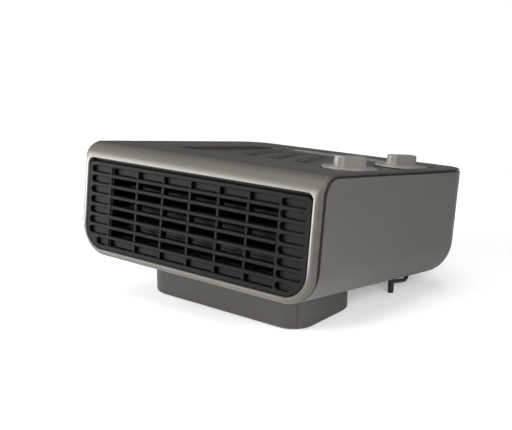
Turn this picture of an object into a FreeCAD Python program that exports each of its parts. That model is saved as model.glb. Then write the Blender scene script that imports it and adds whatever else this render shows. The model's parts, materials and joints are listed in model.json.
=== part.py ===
import FreeCAD, Part
import math
import os
import re
import types
import Sketcher
from FreeCAD import Placement, Rotation, Vector

# Ceramic space heater: a case that leans back on a plinth and two rear feet.
# Case frame: x across, y from the front face to the rear, z up from the case bottom.

driving = {
    # case
    "bodyWidth": (250, "case, side to side"),
    "bodyDepth": (238.8, "case, front face to rear face"),
    "bodyHeight": (97.3, "case, bottom to top"),
    "wall": (2.4, "moulded wall"),
    "leanAngle": (7.33, "case leans back, degrees"),
    "frontLift": (40.4, "case front bottom edge above the table"),
    "bottomRadius": (28, "lower side edges"),
    "topRadius": (3, "upper side edges"),
    "rollRadius": (18, "rolled front top edge"),
    "frontEdge": (4, "front edge all round"),
    "rearCorner": (28, "rear upright corners"),
    "rearBottom": (31, "rear bottom edge"),
    # outlet opening and grille
    "bezelSide": (7.4, "front face beside the opening"),
    "bezelBottom": (5.8, "front face under the opening"),
    "bezelTop": (13.7, "front face over the opening"),
    "openBottomRadius": (20, "lower corners of the opening"),
    "openTopRadius": (5, "upper corners of the opening"),
    "grilleSetback": (1.2, "grille behind the front face"),
    "grilleThick": (7, "grille front to back"),
    "grilleGap": (2.4, "shadow gap over the grille"),
    "grilleEdge": (3.6, "plain border of the grille"),
    "endCell": (25, "length of the blind cells at the ends"),
    "rowBar": (3.2, "level bar of the grille"),
    "postBar": (2.4, "upright bar of the grille"),
    "blindDepth": (4.6, "depth of a blind cell"),
    "postSetback": (0.7, "upright bars behind the level bars"),
    "flangeThick": (2.4, "rear flange of the grille"),
    "pipRadius": (0.9, "pips on the middle bar"),
    "rearLeft": (63, "rear grille from the left side"),
    "rearRight": (79, "rear grille from the right side"),
    "rearLow": (6, "rear grille above the bottom radius"),
    "rearTop": (16, "rear grille below the top"),
    "rearRound": (5, "corners of the rear grille"),
    "rearFlange": (4, "rear grille behind the wall, all round"),
    "rearSlot": (3.4, "slot of the rear grille"),
    "rearSlotPitch": (6, "slot to slot in the rear grille"),
    # groove between the two housings
    "grooveSetback": (5, "groove behind the front face"),
    "grooveWidth": (1.6, "shadow groove"),
    "grooveDrop": (1.2, "groove below the top face"),
    "panelCorner": (13, "front top corner of the side panel"),
    "lipThick": (1.5, "lip behind the groove"),
    "lipReach": (0.7, "lip beyond the groove"),
    "lipBehind": (4, "lip behind the edge of the lower housing"),
    "rimWidth": (2.4, "rim of the upper housing over the side walls"),
    # recess and vents in the top
    "recessLeft": (55, "recess from the left side"),
    "recessFront": (55, "recess from the front"),
    "recessDeep": (2.3, "recess depth"),
    "recessFloorThick": (2, "floor of the recess"),
    "recessRound": (28, "rear left corner of the recess"),
    "recessFrontRound": (5, "front corners of the recess"),
    "recessRightRound": (12, "rear right corner of the recess"),
    "ventPitch": (16.5, "slot to slot along a row"),
    "ventSlot": (8, "width of a slot"),
    "ventLength": (22, "length of a slot"),
    "ventStep": (28, "row to row, straight across"),
    "ventCount": (6, "slots in a row"),
    "ventRows": (3, "rows of slots"),
    "ventLean": (22, "lean of the vent rows, degrees"),
    # knobs
    "knobInset": (37, "knob centre from the right side"),
    "frontKnob": (92, "front knob from the front"),
    "rearKnob": (62.8, "rear knob from the rear"),
    "knobRadius": (22.6, "knob disc"),
    "knobMargin": (0.9, "recess beyond the knob discs, to the right"),
    "knobBehind": (4.4, "recess beyond the rear knob disc"),
    "knobDisc": (2, "knob disc thickness"),
    "gripLength": (30, "knob grip"),
    "gripWidth": (11.6, "knob grip"),
    "gripHeight": (9, "knob grip"),
    "stemRadius": (5, "stem under the knob"),
    "stemGap": (0.8, "stem above the nose of its control"),
    "controlDrop": (3, "controls below the recess floor"),
    "gripTurn": (22, "front end of the grips to the left of straight ahead, degrees"),
    "gripRound": (0.7, "rounded edge on top of the knob grips"),
    "gripSink": (0.5, "grip into the knob disc"),
    "noseHeight": (1.6, "nose of a control through its bracket"),
    "spindleDepth": (13, "spindle hole in a control"),
    "switchWidth": (28, "rotary switch"),
    "switchDepth": (30, "rotary switch"),
    "switchHeight": (20, "rotary switch"),
    "switchNose": (9, "radius of the switch nose"),
    "thermostatRadius": (14, "thermostat"),
    "thermostatHeight": (16, "thermostat"),
    "tabWidth": (12, "thermostat terminals"),
    "tabReach": (34, "thermostat terminals"),
    "tabHeight": (8, "thermostat terminals"),
    "thermostatNose": (7, "radius of the thermostat nose"),
    "bracketHalf": (19, "control bracket, half its width"),
    "bracketThick": (1.2, "control bracket"),
    "bracketPost": (3.2, "radius of the bracket's stand-offs"),
    "bracketPostAcross": (15, "bracket screws beside the knob line"),
    "bracketPostBeyond": (19, "bracket screws beyond the knob centres"),
    "spindle": (3, "radius of switch and thermostat spindles"),
    "turnFit": (0.06, "running fit of a turning piece"),
    "fit": (0.3, "between pieces that are put together"),
    "gap": (0.4, "air between a turning piece and its neighbour"),
    # plinth and feet
    "plinthWidth": (167.6, "plinth, side to side"),
    "plinthDepth": (84, "plinth, front to rear"),
    "plinthSetback": (42.7, "plinth behind the case front"),
    "plinthRadius": (20, "plinth corners"),
    "plinthWall": (2.5, "plinth wall"),
    "plinthEdge": (2.2, "lower edge of the plinth"),
    "plinthFloat": (0.8, "plinth rim above the table"),
    "padThick": (2, "rubber pads"),
    "padRadius": (7, "rubber pads"),
    "footInset": (36, "rear foot from the side"),
    "footFromRear": (63.1, "rear foot in front of the rear face"),
    "footRadius": (2.6, "rear foot"),
    "hookSpan": (24.5, "cord hook, leg to leg"),
    "hookWire": (1.8, "radius of the hook's bar"),
    "hookGap": (0.2, "hook behind the foot"),
    "hookFrontLow": (9.4, "front end of the hook's bar above the table"),
    "hookRearLow": (4.4, "rear end of the hook's bar above the table"),
    "footTip": (0.8, "rounded tip of the rear feet"),
    "padInset": (22, "pads from the plinth's sides"),
    "padInsetDeep": (20, "pads from the plinth's front and rear"),
    # heating element
    "heaterWidth": (184, "element frame"),
    "heaterHeight": (62, "element frame"),
    "heaterDepth": (26, "element frame"),
    "heaterRim": (6, "element frame bars"),
    "heaterGap": (3, "element behind the grille"),
    "elementInset": (6, "stones behind the front of the frame"),
    "elementDepth": (14, "stones and fins, front to rear"),
    "stripThick": (0.8, "electrode strips"),
    "stoneHeight": (5, "ceramic stone bars"),
    "finPitch": (3.6, "fin to fin"),
    "finThick": (0.5, "one fin"),
    # fan
    "fanLeft": (10, "fan axis left of the middle"),
    "fanFromRear": (95.8, "fan axis from the rear"),
    "impellerRadius": (47, "impeller"),
    "impellerHeight": (34, "impeller"),
    "bladeCount": (36, "impeller blades"),
    "scrollRadius": (60, "inside of the fan housing"),
    "scrollWall": (2, "fan housing wall"),
    "scrollBase": (38, "fan housing floor above the case bottom"),
    "scrollHeight": (44, "fan housing"),
    "outletWidth": (88, "mouth of the fan housing"),
    "shaftRadius": (2, "motor shaft"),
    "rotorRadius": (11, "motor rotor"),
    "stackHeight": (16, "motor laminations"),
    "stackBase": (13, "motor laminations above the case bottom"),
    "stackHalf": (24, "laminations, half their width"),
    "stackFront": (22, "laminations in front of the shaft"),
    "stackRear": (40, "laminations behind the shaft"),
    "airGap": (0.5, "between rotor and laminations"),
    "bridgeThick": (1.5, "motor bridges"),
    "bridgeHalf": (7, "motor bridges, half their depth"),
    "motorScrewAcross": (19, "motor screws beside the shaft"),
    "bearingRadius": (3.95, "sleeve bearings"),
    "bearingHeight": (4, "sleeve bearings"),
    "legAcross": (40, "legs of the fan housing from its axis"),
    "legHeight": (5.4, "seats of the fan housing's legs"),
    # cord inlet
    "inletFromRight": (47, "cord inlet from the right side"),
    "inletHeight": (40, "cord inlet above the case bottom"),
    "cordRadius": (3.6, "bore of the cord grommet"),
    "grommetWall": (2, "grommet round the cord"),
    "grommetFlange": (3, "outer flange of the grommet"),
    "clampAcross": (8, "clamp screws beside the cord"),
    "clampFromRear": (22, "cord clamp in front of the rear face"),
    "clampHalf": (4, "clamp posts, half their width"),
    "clampCover": (2.4, "cord clamp over the cord"),
    "terminalWidth": (30, "terminal block"),
    "terminalDepth": (18, "terminal block"),
    "terminalHeight": (14, "terminal block"),
    "terminalPitch": (10, "terminal to terminal"),
    "wireRadius": (1.2, "lead wires"),
    "wireBend": (3.4, "bends of the lead wires"),
    # screws
    "screwRadius": (1.5, "screw shank"),
    "headRadius": (3.2, "screw head"),
    "postRadius": (6, "screw posts"),
    "postInset": (21, "housing screws from the sides"),
    "postFront": (24, "front housing screws from the front"),
    "postRear": (20, "rear housing screws from the rear"),
    "joinHeight": (46, "where the screw posts meet"),
    "headSeat": (29, "seat of the housing screws above the case bottom"),
    "headHeight": (2.2, "screw head"),
    "screwLoose": (0.2, "clearance hole round a screw"),
    "headLoose": (0.5, "counterbore round a screw head"),
    "seatGap": (0.05, "between faces that touch"),
}

doc = FreeCAD.newDocument("ceramic_space_heater")
sheet = doc.addObject("Spreadsheet::Sheet", "sizes")
for row, (alias, (number, note)) in enumerate(driving.items(), start=1):
    sheet.set("A%d" % row, alias)
    sheet.set("B%d" % row, str(number))
    sheet.set("C%d" % row, note)
    sheet.setAlias("B%d" % row, alias)
doc.recompute()
s = types.SimpleNamespace(**{alias: float(sheet.get(alias)) for alias in driving})

halfWidth = s.bodyWidth / 2
openHalf = halfWidth - s.bezelSide
openTop = s.bodyHeight - s.bezelTop
knobX = halfWidth - s.knobInset
fanX = -s.fanLeft
fanY = s.bodyDepth - s.fanFromRear
recessFloor = s.bodyHeight - s.recessDeep
recessRight = s.knobInset - s.knobRadius - s.knobMargin
recessRear = s.rearKnob - s.knobRadius - s.knobBehind
rearKnobY = s.bodyDepth - s.rearKnob
knobSpacing = rearKnobY - s.frontKnob
knobBase = recessFloor + s.gap

parts = {}


# ---------------------------------------------------------------- helpers
def bound(text):
    """Expression text with every sheet alias pointed at the sheet."""
    return re.sub(r"[A-Za-z]+", lambda word: "sizes." + word.group(0) if word.group(0) in driving
                  else word.group(0), text)


def originPlane(body, role):
    return [feature for feature in body.Origin.OriginFeatures if feature.Role == role][0]


def circleSketch(sketch, radius):
    circle = sketch.addGeometry(Part.Circle(Vector(0, 0, 0), Vector(0, 0, 1), 5), False)
    sketch.addConstraint(Sketcher.Constraint("Coincident", circle, 3, -1, 1))
    size = sketch.addConstraint(Sketcher.Constraint("Radius", circle, 5))
    sketch.setExpression("Constraints[%d]" % size, bound(radius))


def rectangleSketch(sketch, width, depth):
    corners = [Vector(-5, -4, 0), Vector(5, -4, 0), Vector(5, 4, 0), Vector(-5, 4, 0)]
    sides = [sketch.addGeometry(Part.LineSegment(corners[n], corners[(n + 1) % 4]), False)
             for n in range(4)]
    for n in range(4):
        sketch.addConstraint(Sketcher.Constraint("Coincident", sides[n], 2, sides[(n + 1) % 4], 1))
    for n, way in enumerate(("Horizontal", "Vertical", "Horizontal", "Vertical")):
        sketch.addConstraint(Sketcher.Constraint(way, sides[n]))
    sketch.addConstraint(Sketcher.Constraint("Symmetric", sides[0], 1, sides[2], 1, -1, 1))
    across = sketch.addConstraint(Sketcher.Constraint("DistanceX", sides[0], 1, sides[0], 2, 10))
    along = sketch.addConstraint(Sketcher.Constraint("DistanceY", sides[1], 1, sides[1], 2, 8))
    sketch.setExpression("Constraints[%d]" % across, bound(width))
    sketch.setExpression("Constraints[%d]" % along, bound(depth))


def slotSketch(sketch, length, width):
    """A bar with round ends, its length along y."""
    right = sketch.addGeometry(Part.LineSegment(Vector(2, -5, 0), Vector(2, 5, 0)), False)
    top = sketch.addGeometry(Part.ArcOfCircle(
        Part.Circle(Vector(0, 5, 0), Vector(0, 0, 1), 2), 0, math.pi), False)
    left = sketch.addGeometry(Part.LineSegment(Vector(-2, 5, 0), Vector(-2, -5, 0)), False)
    low = sketch.addGeometry(Part.ArcOfCircle(
        Part.Circle(Vector(0, -5, 0), Vector(0, 0, 1), 2), math.pi, 2 * math.pi), False)
    for first, firstEnd, second, secondEnd in ((right, 2, top, 1), (top, 2, left, 1),
                                               (left, 2, low, 1), (low, 2, right, 1)):
        sketch.addConstraint(Sketcher.Constraint("Tangent", first, firstEnd, second, secondEnd))
    sketch.addConstraint(Sketcher.Constraint("Vertical", right))
    sketch.addConstraint(Sketcher.Constraint("Equal", top, low))
    sketch.addConstraint(Sketcher.Constraint("Symmetric", top, 3, low, 3, -1, 1))
    apart = sketch.addConstraint(Sketcher.Constraint("DistanceY", low, 3, top, 3, 10))
    half = sketch.addConstraint(Sketcher.Constraint("Radius", top, 2))
    sketch.setExpression("Constraints[%d]" % apart, bound("%s - %s" % (length, width)))
    sketch.setExpression("Constraints[%d]" % half, bound("%s / 2" % width))


drawSketch = {"disc": circleSketch, "block": rectangleSketch, "slot": slotSketch}


def stackedBody(label, layers):
    """A body of pads and pockets about its own z axis.

    A layer is (kind, sizes, base height, length, add or cut), with sizes as expressions.
    """
    body = doc.addObject("PartDesign::Body", label)
    body.Label = label
    for count, (kind, sizes, base, length, way) in enumerate(layers):
        sketch = body.newObject("Sketcher::SketchObject", "%s_outline%d" % (label, count))
        sketch.AttachmentSupport = (originPlane(body, "XY_Plane"), [""])
        sketch.MapMode = "FlatFace"
        sketch.setExpression("AttachmentOffset.Base.z", bound(base))
        drawSketch[kind](sketch, *sizes)
        doc.recompute()
        before = body.Shape.Volume if count else 0
        kindOfFeature = "PartDesign::Pad" if way == "add" else "PartDesign::Pocket"
        feature = body.newObject(kindOfFeature, "%s_%s%d" % (label, way, count))
        feature.Profile = sketch
        feature.setExpression("Length", bound(length))
        if way == "cut":
            feature.Reversed = True
        doc.recompute()
        grown = body.Shape.Volume - before
        if (grown > 0) != (way == "add"):
            raise ValueError("%s layer %d has no effect" % (label, count))
    return body


def roundEdges(body, radius, chosen):
    """Fillet the edges of the body's tip that the test picks."""
    base = body.Tip
    names = ["Edge%d" % (n + 1) for n, edge in enumerate(base.Shape.Edges) if chosen(edge)]
    fillet = body.newObject("PartDesign::Fillet", "%s_round" % body.Label)
    fillet.Base = (base, names)
    fillet.setExpression("Radius", bound(radius))
    doc.recompute()
    return body


def outlineFace(corners, toPoint):
    """A face whose corners (a, b, radius) are rounded by tangent arcs."""
    edges = []
    stops = []
    count = len(corners)
    for n, (a, b, radius) in enumerate(corners):
        here = Vector(a, b, 0)
        back = (Vector(*corners[n - 1][:2], 0) - here).normalize()
        ahead = (Vector(*corners[(n + 1) % count][:2], 0) - here).normalize()
        half = back.getAngle(ahead) / 2
        reach = radius / math.tan(half)
        middle = (back + ahead).normalize()
        centre = here + middle * (radius / math.sin(half))
        stops.append((here + back * reach, centre - middle * radius, here + ahead * reach))
    for n in range(count):
        start, peak, end = [toPoint(point.x, point.y) for point in stops[n]]
        edges.append(Part.Arc(start, peak, end).toShape())
        following = toPoint(stops[(n + 1) % count][0].x, stops[(n + 1) % count][0].y)
        if end.distanceToPoint(following) > 1e-6:
            edges.append(Part.LineSegment(end, following).toShape())
    return Part.Face(Part.Wire(edges))


def prism(plane, corners, start, length):
    """A rounded outline drawn in a plane and carried along the plane's normal."""
    lift = {"XZ": lambda a, b: Vector(a, start, b),
            "YZ": lambda a, b: Vector(start, a, b),
            "XY": lambda a, b: Vector(a, b, start)}[plane]
    way = {"XZ": Vector(0, length, 0), "YZ": Vector(length, 0, 0), "XY": Vector(0, 0, length)}[plane]
    return outlineFace(corners, lift).extrude(way)


def block(low, high):
    return Part.makeBox(high[0] - low[0], high[1] - low[1], high[2] - low[2], Vector(*low))


def rod(radius, base, length, way=Vector(0, 0, 1)):
    return Part.makeCylinder(radius, length, Vector(*base), way)


def tube(outer, inner, base, length, way=Vector(0, 0, 1)):
    return rod(outer, base, length, way).cut(rod(inner, base, length, way))


def rectangle(low, high, radius):
    """Four rounded corners between two opposite points of a plane."""
    return [(low[0], low[1], radius), (high[0], low[1], radius),
            (high[0], high[1], radius), (low[0], high[1], radius)]


def bentBar(points, bends, radius):
    """A round bar along straight runs joined by tangent arcs."""
    edges = []
    start = points[0]
    for n, bend in enumerate(bends, start=1):
        back = (points[n - 1] - points[n]).normalize()
        ahead = (points[n + 1] - points[n]).normalize()
        half = back.getAngle(ahead) / 2
        reach = bend / math.tan(half)
        peak = points[n] + (back + ahead).normalize() * (bend / math.sin(half) - bend)
        edges.append(Part.LineSegment(start, points[n] + back * reach).toShape())
        edges.append(Part.Arc(points[n] + back * reach, peak, points[n] + ahead * reach).toShape())
        start = points[n] + ahead * reach
    edges.append(Part.LineSegment(start, points[-1]).toShape())
    section = Part.Wire([Part.makeCircle(radius, points[0], points[1] - points[0])])
    return Part.Wire(edges).makePipeShell([section], True, True)


def shapeFeature(label, shape):
    feature = doc.addObject("Part::Feature", label)
    feature.Label = label
    feature.Shape = shape.removeSplitter()
    return feature


def envelope(inset):
    """The case as three crossing outlines, moved in by an inset."""
    def less(radius):
        return max(radius - inset, 0.4)
    low, high = inset, s.bodyHeight - inset
    side = halfWidth - inset
    rear = s.bodyDepth - inset
    dip = 0.3   # the cross section starts lower, so its corners meet the rear edge at an angle
    across = [(-side, low - dip, less(s.bottomRadius)), (side, low - dip, less(s.bottomRadius)),
              (side, high, less(s.topRadius)), (-side, high, less(s.topRadius))]
    along = [(inset, low, less(s.frontEdge)), (rear, low, less(s.rearBottom)),
             (rear, high, less(s.topRadius)), (inset, high, less(s.rollRadius))]
    above = [(-side, inset, less(s.frontEdge)), (side, inset, less(s.frontEdge)),
             (side, rear, less(s.rearCorner)), (-side, rear, less(s.rearCorner))]
    spare = 5
    shape = prism("XZ", across, -spare, s.bodyDepth + 2 * spare)
    shape = shape.common(prism("YZ", along, -halfWidth - spare, s.bodyWidth + 2 * spare))
    return shape.common(prism("XY", above, -spare, s.bodyHeight + 2 * spare))


# ---------------------------------------------------------------- case frame
outerCase = envelope(0)
lean = Rotation(Vector(1, 0, 0), -s.leanAngle)
leaning = outerCase.copy()
leaning.Placement = Placement(Vector(0, 0, s.frontLift), lean)
spanY = leaning.optimalBoundingBox(False)
middleY = (spanY.YMin + spanY.YMax) / 2
caseFrame = Placement(Vector(0, -middleY, s.frontLift), lean)
standFrame = Placement(Vector(0, -middleY, 0), Rotation())


def put(feature, frame, x=0, y=0, z=0, turn=Rotation()):
    """Place a piece in the case's or the stand's frame and keep it as a sub-part."""
    feature.Placement = frame.multiply(Placement(Vector(x, y, z), turn))
    parts[feature.Label] = feature
    return feature


def bottomAbove(y):
    """Height of the leaning case bottom above the table at a distance behind its front edge."""
    return s.frontLift - y * math.tan(math.radians(s.leanAngle))


# ---------------------------------------------------------------- housings
inner = envelope(s.wall)
shell = outerCase.cut(inner)
lipInside = envelope(s.wall + s.lipThick)
midWall = envelope(s.wall / 2)


def panelZone(grow):
    """Side view of the lower housing, grown outward; the groove lies round it."""
    front = s.grooveSetback + s.grooveWidth - grow
    top = s.bodyHeight - s.grooveDrop - s.grooveWidth + grow
    small = 0.4
    corners = [(front, -10, small), (s.bodyDepth + 10, -10, small),
               (s.bodyDepth + 10, top, small), (front, top, s.panelCorner + grow)]
    return prism("YZ", corners, -halfWidth - 5, s.bodyWidth + 10)


def crown(inset):
    """Everything above the opening and inside the side walls belongs to the upper housing."""
    side, rear, corner = halfWidth - inset, s.bodyDepth - inset, s.rearCorner - inset
    plan = [(-side, -1, 0.4), (side, -1, 0.4), (side, rear, corner), (-side, rear, corner)]
    return prism("XY", plan, openTop + 1, s.bezelTop)


crownInset = s.wall + s.rimWidth
openingOutline = [(-openHalf, s.bezelBottom, s.openBottomRadius),
                  (openHalf, s.bezelBottom, s.openBottomRadius),
                  (openHalf, openTop, s.openTopRadius), (-openHalf, openTop, s.openTopRadius)]


def grown(corners, amount):
    """A four-cornered outline moved outward by an amount."""
    signs = ((-1, -1), (1, -1), (1, 1), (-1, 1))
    return [(a + i * amount, b + j * amount, max(radius + amount, 0.4))
            for (a, b, radius), (i, j) in zip(corners, signs)]


recessOutline = [(-halfWidth + s.recessLeft, s.recessFront, s.recessFrontRound),
                 (halfWidth - recessRight, s.recessFront, s.recessFrontRound),
                 (halfWidth - recessRight, s.bodyDepth - recessRear, s.recessRightRound),
                 (-halfWidth + s.recessLeft, s.bodyDepth - recessRear, s.recessRound)]
knobPlaces = [(knobX, s.frontKnob), (knobX, rearKnobY)]
postPlaces = [(side * (halfWidth - s.postInset), y)
              for side in (-1, 1) for y in (s.postFront, s.bodyDepth - s.postRear)]
bracketPosts = [(knobX + side * s.bracketPostAcross, y) for side in (-1, 1)
                for y in (s.frontKnob - s.bracketPostBeyond, rearKnobY + s.bracketPostBeyond)]
grilleBack = s.grilleSetback + s.grilleThick


def ventSlots():
    """Round-ended slots in leaning rows over the fan."""
    rowWay = Rotation(Vector(0, 0, 1), s.ventLean).multVec(Vector(0, 1, 0))
    turn = Rotation(Vector(0, 0, 1), -s.ventLean)
    half = (s.ventLength / 2, s.ventSlot / 2)
    slots = []
    for row in range(int(s.ventRows)):
        across = Vector((row - (s.ventRows - 1) / 2) * s.ventStep, 0, 0)
        for step in range(int(s.ventCount)):
            centre = across + rowWay * ((step - (s.ventCount - 1) / 2) * s.ventPitch)
            slot = prism("XY", rectangle((-half[0], -half[1]), half, s.ventSlot / 2.2), 0, 20)
            slot.Placement = Placement(
                Vector(fanX + centre.x, fanY + centre.y, recessFloor - 10), turn)
            slots.append(slot)
    return slots


upper = shell.cut(panelZone(s.grooveWidth).cut(crown(crownInset)))
sleeve = prism("XZ", grown(openingOutline, s.wall), s.wall / 2, grilleBack - s.wall / 2)
upper = upper.fuse(sleeve.common(midWall))
trayLow = recessFloor - s.recessFloorThick
tray = prism("XY", grown(recessOutline, s.wall), trayLow, s.bodyHeight - trayLow)
upper = upper.fuse(tray.common(outerCase))
for x, y in postPlaces:
    upper = upper.fuse(rod(s.postRadius - 1.5, (x, y, s.joinHeight), s.bodyHeight - s.wall - s.joinHeight))
upper = upper.cut(prism("XZ", openingOutline, -5, grilleBack + 10))
upper = upper.cut(prism("XY", recessOutline, recessFloor, 10))
for x, y in knobPlaces:
    upper = upper.cut(rod(s.stemRadius + s.gap, (x, y, recessFloor - 10), 20))
upper = upper.cut(ventSlots())
for x, y in postPlaces:
    upper = upper.cut(rod(s.screwRadius, (x, y, s.joinHeight - 1), 15))
for x, y in bracketPosts:
    upper = upper.cut(rod(s.screwRadius, (x, y, trayLow - 1), s.recessFloorThick + 0.6))
put(shapeFeature("front_top_housing", upper), caseFrame)

lower = outerCase.common(panelZone(0)).fuse(inner.common(panelZone(s.grooveWidth + s.lipReach)))
lower = lower.cut(lipInside.fuse(inner.common(panelZone(-s.lipBehind)))).cut(crown(crownInset))
lower = lower.cut(prism("XZ", grown(openingOutline, s.wall + s.fit), 0, grilleBack + 1))
plinthMid = (s.plinthSetback + s.plinthDepth / 2) / math.cos(math.radians(s.leanAngle))
plinthScrews = [(side * (s.plinthWidth / 2 - 24), plinthMid + way * (s.plinthDepth / 2 - 18))
                for side in (-1, 1) for way in (-1, 1)]
for x, y in postPlaces:
    lower = lower.fuse(rod(s.postRadius, (x, y, 0), s.joinHeight - s.screwLoose).common(midWall))
for x, y in plinthScrews:
    lower = lower.fuse(rod(s.postRadius - 2, (x, y, s.wall / 2), 10))
inletX = halfWidth - s.inletFromRight
clampY = s.bodyDepth - s.clampFromRear
clampTop = s.inletHeight - s.cordRadius
for side in (-1, 1):
    postX = inletX + side * s.clampAcross
    lower = lower.fuse(block((postX - s.clampHalf, clampY - s.clampHalf, s.wall / 2),
                             (postX + s.clampHalf, clampY + s.clampHalf, clampTop)))
grommetHole = s.cordRadius + s.grommetWall
legPlaces = [(fanX + i * s.legAcross, fanY + j * s.legAcross) for i in (-1, 1) for j in (-1, 1)]
for x, y in legPlaces:
    lower = lower.fuse(rod(s.postRadius, (x, y, s.wall / 2), s.legHeight - s.wall / 2))
rearOutline = rectangle((-halfWidth + s.rearLeft, s.rearBottom + s.rearLow),
                        (halfWidth - s.rearRight, s.bodyHeight - s.rearTop), s.rearRound)
lower = lower.cut(prism("XZ", rearOutline, s.bodyDepth - 5, 10))
lower = lower.cut(rod(grommetHole, (inletX, s.bodyDepth - 5, s.inletHeight), 10, Vector(0, 1, 0)))
for x, y in postPlaces:
    lower = lower.cut(rod(s.headRadius + s.headLoose, (x, y, -1), s.headSeat + 2))
    lower = lower.cut(rod(s.screwRadius + s.screwLoose, (x, y, s.headSeat), s.joinHeight))
for x, y in plinthScrews:
    lower = lower.cut(rod(s.screwRadius, (x, y, -1), 10))
for x, y in legPlaces:
    lower = lower.cut(rod(s.headRadius + s.headLoose, (x, y, -1), 4))
    lower = lower.cut(rod(s.screwRadius + s.screwLoose, (x, y, -1), 10))
for side in (-1, 1):
    lower = lower.cut(rod(s.screwRadius, (inletX + side * s.clampAcross, clampY, clampTop - 9), 10))
put(shapeFeature("lower_housing", lower), caseFrame)


# ---------------------------------------------------------------- grilles
rowCount, columnCount = 8, 6
frontOutline = grown(openingOutline, -s.fit)
lowered = [(a, b - s.grilleGap if b > openTop / 2 else b, radius) for a, b, radius in frontOutline]
grille = prism("XZ", lowered, s.grilleSetback, s.grilleThick)
grille = grille.fuse(prism("XZ", frontOutline, grilleBack - s.flangeThick, s.flangeThick))
gridTop = openTop - s.grilleGap - s.fit - s.grilleEdge
gridBottom = s.bezelBottom + s.fit + s.grilleEdge + 0.4
rowPitch = (gridTop - gridBottom + s.rowBar) / rowCount
cellHeight = rowPitch - s.rowBar
gridHalf = openHalf - s.fit - s.grilleEdge
gridInner = gridHalf - s.endCell
columnPitch = 2 * gridInner / columnCount
cellRound = cellHeight / 2.05
cuts = []
for row in range(rowCount):
    low = gridBottom + row * rowPitch
    endRow = row in (0, rowCount - 1)
    reach = gridHalf - (s.openBottomRadius / 2 if row == 0 else 0)
    for side in (-1, 1):
        near, far = side * (gridInner + s.postBar / 2), side * reach
        ends = [(min(near, far), low), (max(near, far), low + cellHeight)]
        cuts.append(prism("XZ", rectangle(*ends, cellRound), s.grilleSetback - 1, s.blindDepth + 1))
    for column in range(columnCount):
        left = -gridInner + column * columnPitch + s.postBar / 2
        right = left + columnPitch - s.postBar
        deep = s.blindDepth if endRow else s.grilleThick + 2
        cuts.append(prism("XZ", rectangle((left, low), (right, low + cellHeight), 0.8),
                          s.grilleSetback - 1, deep + 1))
    cuts.append(block((-gridInner, s.grilleSetback - 1, low),
                      (gridInner, s.grilleSetback + s.postSetback, low + cellHeight)))
grille = grille.cut(cuts)
pipZ = gridBottom + rowCount / 2 * rowPitch - s.rowBar / 2
for column in (0, 3, 6):
    grille = grille.fuse(rod(s.pipRadius, (-gridInner + column * columnPitch, s.grilleSetback - 0.5, pipZ),
                             2, Vector(0, 1, 0)))
put(shapeFeature("outlet_grille", grille), caseFrame)

rearGrille = prism("XZ", grown(rearOutline, -s.fit), s.bodyDepth - s.wall - 1, s.wall + 0.6)
rearFlange = prism("XZ", grown(rearOutline, s.rearFlange), s.bodyDepth - s.wall - 2, 2 - 2 * s.seatGap)
rearGrille = rearGrille.fuse(rearFlange)
(rearFrom, slotLow), (rearTo, slotHigh) = [rearOutline[n][:2] for n in (0, 2)]
slotLow += s.rearRound
slotHigh -= s.rearRound
rearMiddle = (slotLow + slotHigh) / 2
slotCount = int((rearTo - rearFrom - 2 * s.rearRound) / s.rearSlotPitch)
firstSlot = (rearFrom + rearTo - (slotCount - 1) * s.rearSlotPitch - s.rearSlot) / 2
slots = []
for n in range(slotCount):
    x = firstSlot + n * s.rearSlotPitch
    for low, high in ((slotLow, rearMiddle - 1.5), (rearMiddle + 1.5, slotHigh)):
        slots.append(prism("XZ", rectangle((x, low), (x + s.rearSlot, high), s.rearSlot / 2.1),
                           s.bodyDepth - 8, 16))
rearGrille = rearGrille.cut(slots)
put(shapeFeature("rear_intake_grille", rearGrille), caseFrame)


# ---------------------------------------------------------------- plinth and feet
caseSpace = block((-200, -200, 0), (200, 400, 300))
caseSpace.Placement = Placement(Vector(0, 0, s.frontLift), lean)
roofSpace = caseSpace.copy()
roofSpace.translate(lean.multVec(Vector(0, 0, -s.plinthWall)))
plinthOutline = rectangle((-s.plinthWidth / 2, s.plinthSetback),
                          (s.plinthWidth / 2, s.plinthSetback + s.plinthDepth), s.plinthRadius)
plinth = prism("XY", plinthOutline, s.plinthFloat, s.frontLift)
plinth = plinth.makeFillet(s.plinthEdge, [edge for edge in plinth.Edges
                                          if edge.BoundBox.ZMax < s.plinthFloat + 0.01])
hollow = prism("XY", grown(plinthOutline, -s.plinthWall), 0, s.frontLift + 5)
plinth = plinth.cut(hollow.cut(roofSpace)).cut(caseSpace)
screwHoles = Part.makeCompound([rod(s.screwRadius + s.screwLoose, (x, y, -20), 25)
                                for x, y in plinthScrews])
screwHoles.Placement = Placement(Vector(0, 0, s.frontLift), lean)
put(shapeFeature("plinth", plinth.cut(screwHoles)), standFrame)

plate = stackedBody("plinth_base_plate", [
    ("block", ["plinthWidth - 2 * plinthWall - 2 * fit", "plinthDepth - 2 * plinthWall - 2 * fit"],
     "padThick", "plinthWall", "add")])
roundEdges(plate, "plinthRadius - plinthWall - fit",
           lambda edge: abs(edge.tangentAt(edge.FirstParameter).z) > 0.9)
put(plate, standFrame, 0, s.plinthSetback + s.plinthDepth / 2)

padX = s.plinthWidth / 2 - s.padInset
padY = s.plinthDepth / 2 - s.padInsetDeep
pads = [rod(s.padRadius, (i * padX, s.plinthSetback + s.plinthDepth / 2 + j * padY, 0), s.padThick)
        for i in (-1, 1) for j in (-1, 1)]
put(shapeFeature("rubber_pads", Part.makeCompound(pads)), standFrame)

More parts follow.
